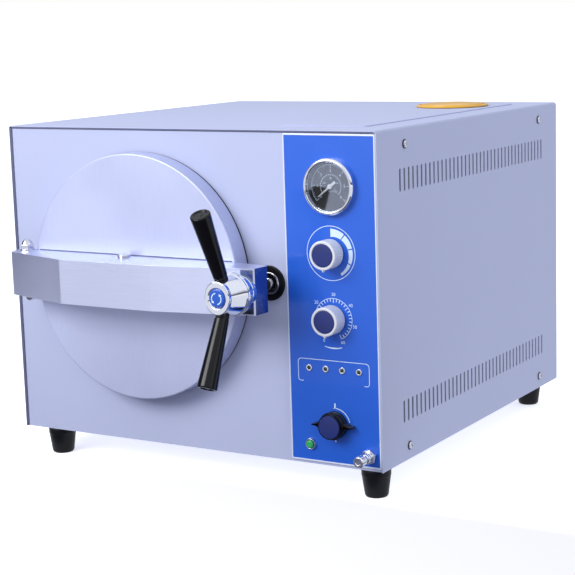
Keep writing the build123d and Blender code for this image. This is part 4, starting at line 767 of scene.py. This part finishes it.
def gauge():
    centre = ahead_of(GAUGE, 0)
    rim = [(25.4, 1.2), (25.4, 7.4), (25.9, 8.6, 0.5), (26.6, 9.0, 0.6), (28.0, 9.0, 1.2), (29.6, 7.2, 1.2),
           (29.6, 1.2)]
    turned_piece("gauge_rim", centre, rim, "cabinet", "chrome", "chrome", "gauge_bezel", around=128)
    turned_piece("gauge_face", centre, [(0, 0.6), (24.6, 0.6, 0.2), (24.6, 0.0), (0, 0.0)], "cabinet",
                 "dial_print", "dial_print", "gauge_dial")
    marks = bmesh.new()
    for k in range(49):
        major = k % 8 == 0
        angle = GAUGE_START - GAUGE_SWEEP * k / 48
        reach = 19.0 if major else (20.6 if k % 4 == 0 else 21.4)
        tick(marks, GAUGE, angle, reach, 22.6, 0.55 if major else 0.3, MARK_BACK, MARK_FRONT)
    for k in range(7):
        spot = arc(GAUGE, 16.0, GAUGE_START - 44 * k, 0, 1)[0]
        written(marks, str(k), spot, 4.6, MARK_BACK, MARK_FRONT)
    for k in range(5):
        spot = arc(GAUGE, 8.2, GAUGE_START - 66 * k, 0, 1)[0]
        written(marks, str(20 * k), spot, 2.9, MARK_BACK, MARK_FRONT)
    last = GAUGE_START - GAUGE_SWEEP
    for radius, start, end in ((22.6, last, GAUGE_START), (12.2, last, GAUGE_START), (5.4, 200, 340)):
        prism(marks, sector(GAUGE, radius, radius + 0.35, start, end, 72), on_front, MARK_BACK, MARK_FRONT)
    for k in range(25):
        reach = 11.0 if k % 4 else 10.2
        tick(marks, GAUGE, GAUGE_START - 11 * k, reach, 12.2, 0.3, MARK_BACK, MARK_FRONT)
    add(finished("gauge_marks", marks), "cabinet", "print_white", "pointer_white")
    along = Vector((math.cos(POINTER_REST), math.sin(POINTER_REST)))
    side = Vector((-along.y, along.x))
    needle = bmesh.new()
    blade = [(-8, -1.5, 0.4), (0, -1.15), (18, -0.35, 0.2), (18, 0.35, 0.2), (0, 1.15), (-8, 1.5, 0.4)]
    outline = [Vector(GAUGE) + along * p.x + side * p.y for p in rounded(blade)]
    prism(needle, outline, on_front, 2.6, 3.1, edge=0.15)
    boss = [(0, -5), (1.1, -5), (1.1, 2.4), (2.6, 2.4, 0.2), (2.6, 3.6, 0.5), (0, 3.7)]
    turned(needle, centre, boss, around=48)
    add(finished("gauge_needle", needle), "gauge_needle", "pointer_white", "pointer_white", "gauge_pointer")
    turned_piece("gauge_window", centre, [(0, 7.1), (25.4, 7.1, 0.2), (25.4, 5.9), (0, 5.9)], "cabinet",
                 "clear_glass", "clear_glass", "gauge_glass")


# ---------------------------------------------------------------- knobs
KNOB_RADIUS = 15.4
KNOB_FRONT = 20.0
FLUTES = 48
SHAFT = [(0, -14), (3, -14, 0.4), (3, 2.6), (0, 2.6)]


def flutes(radius, height, angle):
    """Radius of a knob's grip, fluted except near its front."""
    if radius < KNOB_RADIUS - 0.05 or height > KNOB_FRONT - 3.4:
        return radius
    return radius - 0.32 * (0.5 + 0.5 * math.cos(angle * FLUTES))


def dial_knob(name, centre, body, grip_node, cap_node):
    profile = [(0, 2.4), (KNOB_RADIUS, 2.4), (KNOB_RADIUS, 2.6), (KNOB_RADIUS, KNOB_FRONT - 3.5),
               (KNOB_RADIUS, KNOB_FRONT - 3.3), (KNOB_RADIUS, KNOB_FRONT, 1.3), (12.6, KNOB_FRONT, 0.5),
               (12.2, KNOB_FRONT - 1.4), (0, KNOB_FRONT - 1.4)]
    shape = bmesh.new()
    turned(shape, ahead_of(centre, 0), profile, around=FLUTES * 6, wave=flutes)
    turned(shape, ahead_of(centre, 0), SHAFT, around=32)
    pointer = [(centre[0] + x, centre[1] + z) for x, z in ((-1.6, -14.9), (0, -17.4), (1.6, -14.9))]
    prism(shape, pointer, on_front, 15.0, 19.4, edge=0.3)
    add(finished(name, shape), body, "knob_white", "knob_white", grip_node)
    cap = [(0, KNOB_FRONT - 1.5), (11.9, KNOB_FRONT - 1.5), (11.9, KNOB_FRONT + 0.1, 0.5),
           (9, KNOB_FRONT + 0.35), (0, KNOB_FRONT + 0.6)]
    turned_piece(name + "_disc", ahead_of(centre, 0), cap, body, "cap_blue", "cap_blue", cap_node)


def selector():
    shape = bmesh.new()
    wings = [(-27, 0, 0.6), (-19, -1.9, 8), (-10, -6.2, 3), (10, -6.2, 3), (19, -1.9, 8), (27, 0, 0.6),
             (19, 1.9, 8), (10, 6.2, 3), (-10, 6.2, 3), (-19, 1.9, 8)]
    outline = [(SELECTOR[0] + p.x, SELECTOR[1] + p.y) for p in rounded(wings)]
    prism(shape, outline, on_front, 2.4, 10.4, edge=1.3)
    turned(shape, ahead_of(SELECTOR, 0), [(0, 2.4), (15, 2.4), (15, 10.2, 1.2), (13.6, 11.2, 0.6),
                                          (13.4, 15.4, 0.9), (12.7, 15.4, 0.2), (12.5, 14.8), (0, 14.8)])
    turned(shape, ahead_of(SELECTOR, 0), SHAFT, around=32)
    add(finished("selector_grip", shape), "selector", "lever_black", "lever_black", "selector_knob")
    cap = [(0, 14.7), (12.3, 14.7), (12.3, 15.7, 0.5), (9, 15.95), (0, 16.2)]
    turned_piece("selector_disc", ahead_of(SELECTOR, 0), cap, "selector", "cap_blue", "cap_blue",
                 "selector_knob_cap")


# ---------------------------------------------------------------- lamps, reset button, drain valve
def lamps():
    for k, place in enumerate(LAMPS):
        centre = ahead_of(place, 0)
        turned_piece(f"lamp_ring_{k + 1}", centre, [(1.9, 1.2), (3.7, 1.2), (3.7, 2.2, 0.7), (2.0, 2.2, 0.3)],
                     "cabinet", "screw_steel", "screw_steel", "lamp_bezels", around=48)
        lens = [(0, -8), (1.85, -8), (1.85, 1.9, 0.3), (1.2, 2.6, 0.6), (0, 2.9)]
        turned_piece(f"lamp_lens_{k + 1}", centre, lens, "cabinet", "lamp_green", "lamp_green", "lamp_lenses",
                     around=48)


def reset_button():
    centre = ahead_of(RESET, 0)
    ring = [(4.5, -9), (4.5, 3.4), (5.0, 4.1, 0.3), (5.6, 4.2, 0.4), (6.6, 1.2), (5.6, 1.2), (5.6, -9)]
    turned_piece("reset_ring", centre, ring, "cabinet", "polished_steel", "polished_steel", "reset_bezel")
    cap = [(0, -6.4), (4.2, -6.4), (4.2, 5.4, 0.7), (2.4, 6.0, 0.5), (0, 5.8)]
    turned_piece("reset_cap", centre, cap, "reset", "button_green", "button_green", "reset_button")


def knurl(radius, height, angle):
    """Radius of the drain valve's knob with straight knurling."""
    if radius < 5.95:
        return radius
    return radius - 0.25 * (0.5 + 0.5 * math.cos(angle * 32))


def drain_valve():
    centre = ahead_of(DRAIN, 0)
    shape = bmesh.new()
    outline = [(DRAIN[0] + p.x, DRAIN[1] + p.y) for p in hexagon(8.6, 20, 0.5)]
    prism(shape, outline, on_front, 1.25, 6.7, edge=0.9)
    neck = [(3.1, 1), (6.9, 1), (6.9, 7.2, 0.5), (5.3, 7.6, 0.3), (5.2, 9.4, 0.3), (5.6, 10.0, 0.3),
            (5.6, 11.6, 0.3), (5.2, 12.2, 0.3), (5.2, 14.0, 0.4), (4.2, 15.0, 0.3), (3.1, 15.0)]
    turned(shape, centre, neck)
    tail = [(0, -46), (4, -46, 0.5), (4, -34), (9, -34, 0.6), (9, -16), (6, -16), (6, 1.1), (0, 1.1)]
    turned(shape, centre, tail)
    add(finished("drain_fitting", shape), "cabinet", "chrome", "chrome", "drain_valve_body")
    knob = [(0, -4), (3, -4), (3, 18.5), (5.2, 18.5, 0.3), (6.0, 19.5, 0.3), (6.0, 27.8, 0.4), (5.2, 29, 0.5),
            (3.2, 29, 0.4), (2.7, 28.4, 0.3), (0, 28.4)]
    turned_piece("drain_knob", centre, knob, "drain_valve", "chrome", "chrome", "drain_valve_knob",
                 around=192, wave=knurl)


# ---------------------------------------------------------------- fixings, feet and filler cap
SIDE_SCREW_X = 0.22
WASHER_SIZE = 9 * MM
SCREW_RISE = 2.2


def pan_screw(name, face, way, head, base, rise):
    """Pan-head screw with a cross recess, standing on a point of a surface."""
    shape = bmesh.new()
    profile = [(0, base), (head, base), (head, base + 0.7, 0.2), (head * 0.86, base + rise * 0.74, 0.6),
               (head * 0.5, base + rise, 0.8), (0, base + rise)]
    turned(shape, face, profile, way, 40)
    piece = finished(name, shape)
    across = way.cross(UP)

    def recess(a, b, height):
        return face + across * (a * MM) + UP * (b * MM) + way * (height * MM)

    thin = 0.45
    wide = 2.2
    cross = [(thin, thin), (thin, wide), (-thin, wide), (-thin, thin), (-wide, thin), (-wide, -thin),
             (-thin, -thin), (-thin, -wide), (thin, -wide), (thin, -thin), (wide, -thin), (wide, thin)]
    slot = bmesh.new()
    prism(slot, cross, recess, base + rise - 1.1, base + rise + 1.0)
    cut(piece, slot)
    return piece


def screws():
    """Side screws with washers, and the two bolts of the hinge bracket."""
    for k, (low, high) in enumerate(solids("screws")):
        centre = Vector([(a + b) / 2 for a, b in zip(low, high)])
        on_side = abs(centre.x) > SIDE_SCREW_X and high[2] - low[2] > WASHER_SIZE
        way = Vector((math.copysign(1, centre.x), 0, 0)) if on_side else FORWARD
        if on_side:
            tip = high[0] if centre.x > 0 else low[0]
            face = Vector((tip - way.x * 3.0 * MM, centre.y, centre.z))
            turned_piece(f"washer_{k + 1:02d}", face, [(0, 0), (5, 0), (5, 0.8, 0.35), (0, 0.8)], "cabinet",
                         "washer_dark", "screw_steel", way=way, around=40)
            piece = pan_screw(f"screw_{k + 1:02d}", face, way, 3.7, 0.8, SCREW_RISE)
        else:
            face = Vector((centre.x, low[1] + SCREW_RISE * MM, centre.z))
            piece = pan_screw(f"screw_{k + 1:02d}", face, way, 4.2, 0.0, SCREW_RISE)
        add(piece, "cabinet", "screw_steel", "screw_steel", "screws")


def feet():
    for k, (low, high) in enumerate(solids("feet")):
        base = Vector(((low[0] + high[0]) / 2, (low[1] + high[1]) / 2, 0))
        profile = [(3.2, 6), (5, 0.6), (6.5, 0, 0.6), (11.4, 0, 1.6), (12.7, 2.4, 2.0), (15.4, 22, 2.0),
                   (15.9, 24, 0.8), (16, 30, 0.8), (5, 30)]
        turned_piece(f"foot_{k + 1}", base, profile, "cabinet", "rubber_black", "rubber_black", "feet",
                     way=UP, around=72)


def filler_cap():
    low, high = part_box("filler_cap")
    centre = Vector(((low.x + high.x) / 2, (low.y + high.y) / 2, 0))
    top = high.z / MM
    rim = top - 5.2
    outer = (high.x - low.x) / 2 / MM
    profile = [(0, rim), (23.5, rim), (23.5, rim - 14, 0.6), (26.2, rim - 14, 0.6), (26.2, rim),
               (outer - 0.9, rim, 0.4), (outer, rim + 0.7, 0.5), (outer, rim + 1.9, 0.6),
               (outer - 1.2, rim + 2.6, 0.6), (39.8, rim + 2.6, 0.3), (39.4, rim + 1.2, 0.2),
               (38.2, rim + 1.2, 0.2), (37.6, rim + 3.3, 0.5)]
    dome = [(r, rim + 3.3 + 1.9 * (1 - (r / 37.6) ** 2)) for r in (33, 28, 22, 15, 8)]
    turned_piece("filler_lid", centre, profile + dome + [(0, top)], "tank_cap", "filler_yellow",
                 "filler_yellow", "filler_cap", way=UP, around=128)


# ---------------------------------------------------------------- studio
CAMERA_PLACE = (0.9985, -1.5973, 0.5015)
CAMERA_AZIMUTH = 30.263
CAMERA_ELEVATION = 9.702
CAMERA_ROLL = -1.561
CAMERA_LENS = 99.6
CAMERA_SHIFT = -0.0652


def camera():
    azimuth, elevation = math.radians(CAMERA_AZIMUTH), math.radians(CAMERA_ELEVATION)
    back = Vector((math.sin(azimuth) * math.cos(elevation), -math.cos(azimuth) * math.cos(elevation),
                   math.sin(elevation)))
    level_right = Vector((math.cos(azimuth), math.sin(azimuth), 0))
    level_up = back.cross(level_right)
    turn = math.radians(CAMERA_ROLL)
    right = math.cos(turn) * level_right + math.sin(turn) * level_up
    up = math.cos(turn) * level_up - math.sin(turn) * level_right
    data = bpy.data.cameras.new("camera")
    data.lens = CAMERA_LENS
    data.sensor_width = 36.0
    data.shift_x = CAMERA_SHIFT
    data.clip_start = 0.05
    data.clip_end = 50.0
    eye = bpy.data.objects.new("camera", data)
    eye.matrix_world = Matrix.Translation(CAMERA_PLACE) @ Matrix((right, up, back)).transposed().to_4x4()
    bpy.context.scene.collection.objects.link(eye)
    bpy.context.scene.camera = eye


def softbox(name, place, target, width, height, power):
    data = bpy.data.lights.new(name, "AREA")
    data.shape = "RECTANGLE"
    data.size = width
    data.size_y = height
    data.energy = power
    lamp = bpy.data.objects.new(name, data)
    lamp.location = place
    lamp.rotation_mode = "QUATERNION"
    lamp.rotation_quaternion = (Vector(target) - Vector(place)).to_track_quat("-Z", "Y")
    bpy.context.scene.collection.objects.link(lamp)


def card(name, corners, tone):
    """Flat card seen only in reflections and soft light, to give polished metal its dark bands."""
    shape = bmesh.new()
    shape.faces.new([shape.verts.new(c) for c in corners])
    made = finished(name, shape)
    made.data.materials.append(finish(name + "_card", tone, 0.9, vary=0.02, bump=0.0))
    made.visible_camera = False
    made.visible_shadow = False


def floor():
    """Plain pale floor, wide enough to fill every view."""
    shape = bmesh.new()
    bmesh.ops.create_grid(shape, x_segments=1, y_segments=1, size=200)
    ground = finished("floor", shape)
    paper = finish("floor_paper", (0.93, 0.93, 0.94), 0.9, grain=60, vary=0.005, bump=0.0)
    shader = paper.node_tree.nodes["Principled BSDF"]
    shader.inputs["Emission Color"].default_value = (1, 1, 1, 1)
    shader.inputs["Emission Strength"].default_value = 0.55
    ground.data.materials.append(paper)
    ground.visible_diffuse = False
    ground.visible_glossy = False


def flags():
    """Dark cards: on the bench in front, at the left, and a small one for the gauge's glass."""
    card("bench", [(-0.5, -0.62, 0.004), (0.7, -0.62, 0.004), (0.7, -0.2, 0.004), (-0.5, -0.2, 0.004)],
         (0.10, 0.10, 0.14))
    card("left", [(-0.95, -1.05, 0.0), (-0.95, 0.1, 0.0), (-0.95, 0.1, 0.8), (-0.95, -1.05, 0.8)],
         (0.14, 0.14, 0.20))
    card("wedge", [(-0.385, -1.0545, 0.168), (-0.33, -1.0545, 0.168), (-0.33, -1.0545, 0.2166),
                   (-0.385, -1.0545, 0.2166)], (0.01, 0.01, 0.012))


def surroundings():
    """White room, darker just above the horizon, so that polished metal has something to show."""
    world = bpy.data.worlds.new("studio")
    bpy.context.scene.world = world
    world.use_nodes = True
    tree = world.node_tree
    background = tree.nodes["Background"]
    way = chain(tree, "ShaderNodeTexCoord").outputs["Generated"]
    parts = chain(tree, "ShaderNodeSeparateXYZ", {"Vector": way})
    height = chain(tree, "ShaderNodeMapRange",
                   {"Value": parts.outputs["Z"], "From Min": -1.0, "From Max": 1.0})
    ramp = chain(tree, "ShaderNodeValToRGB", {"Fac": height.outputs["Result"]})
    stops = ramp.color_ramp.elements
    stops[0].position = 0.0
    stops[0].color = (0.74, 0.76, 0.86, 1)
    stops[1].position = 1.0
    stops[1].color = (0.90, 0.93, 1.0, 1)
    band = ((0.47, (0.80, 0.82, 0.90)), (0.485, (1, 1, 1)), (0.52, (1, 1, 1)), (0.53, (0.10, 0.10, 0.13)),
            (0.575, (0.14, 0.14, 0.18)), (0.60, (0.55, 0.57, 0.66)), (0.66, (0.88, 0.91, 1.0)))
    for position, colour in band:
        stop = stops.new(position)
        stop.color = colour + (1,)
    tree.links.new(ramp.outputs["Color"], background.inputs["Color"])
    background.inputs["Strength"].default_value = 1.0


def studio():
    camera()
    floor()
    flags()
    surroundings()
    softbox("key", (-0.8, -1.8, 1.25), (0, -0.2, 0.2), 1.4, 1.0, 33)
    softbox("fill", (2.6, -0.6, 1.4), (0, 0, 0.2), 1.2, 1.2, 2)
    bpy.context.scene.view_settings.view_transform = "Standard"


paint_frame()
door_disc()
cross_bar()
pins()
handwheel()
lock_socket()
cover_edge()
fascia_edge()
pressure_scale()
timer_scale()
lamp_frame()
selector_scale()
gauge()
dial_knob("pressure_grip", PRESSURE, "pressure_dial", "pressure_knob", "pressure_knob_cap")
dial_knob("timer_grip", TIMER, "timer_dial", "timer_knob", "timer_knob_cap")
selector()
lamps()
reset_button()
drain_valve()
screws()
feet()
filler_cap()
studio()
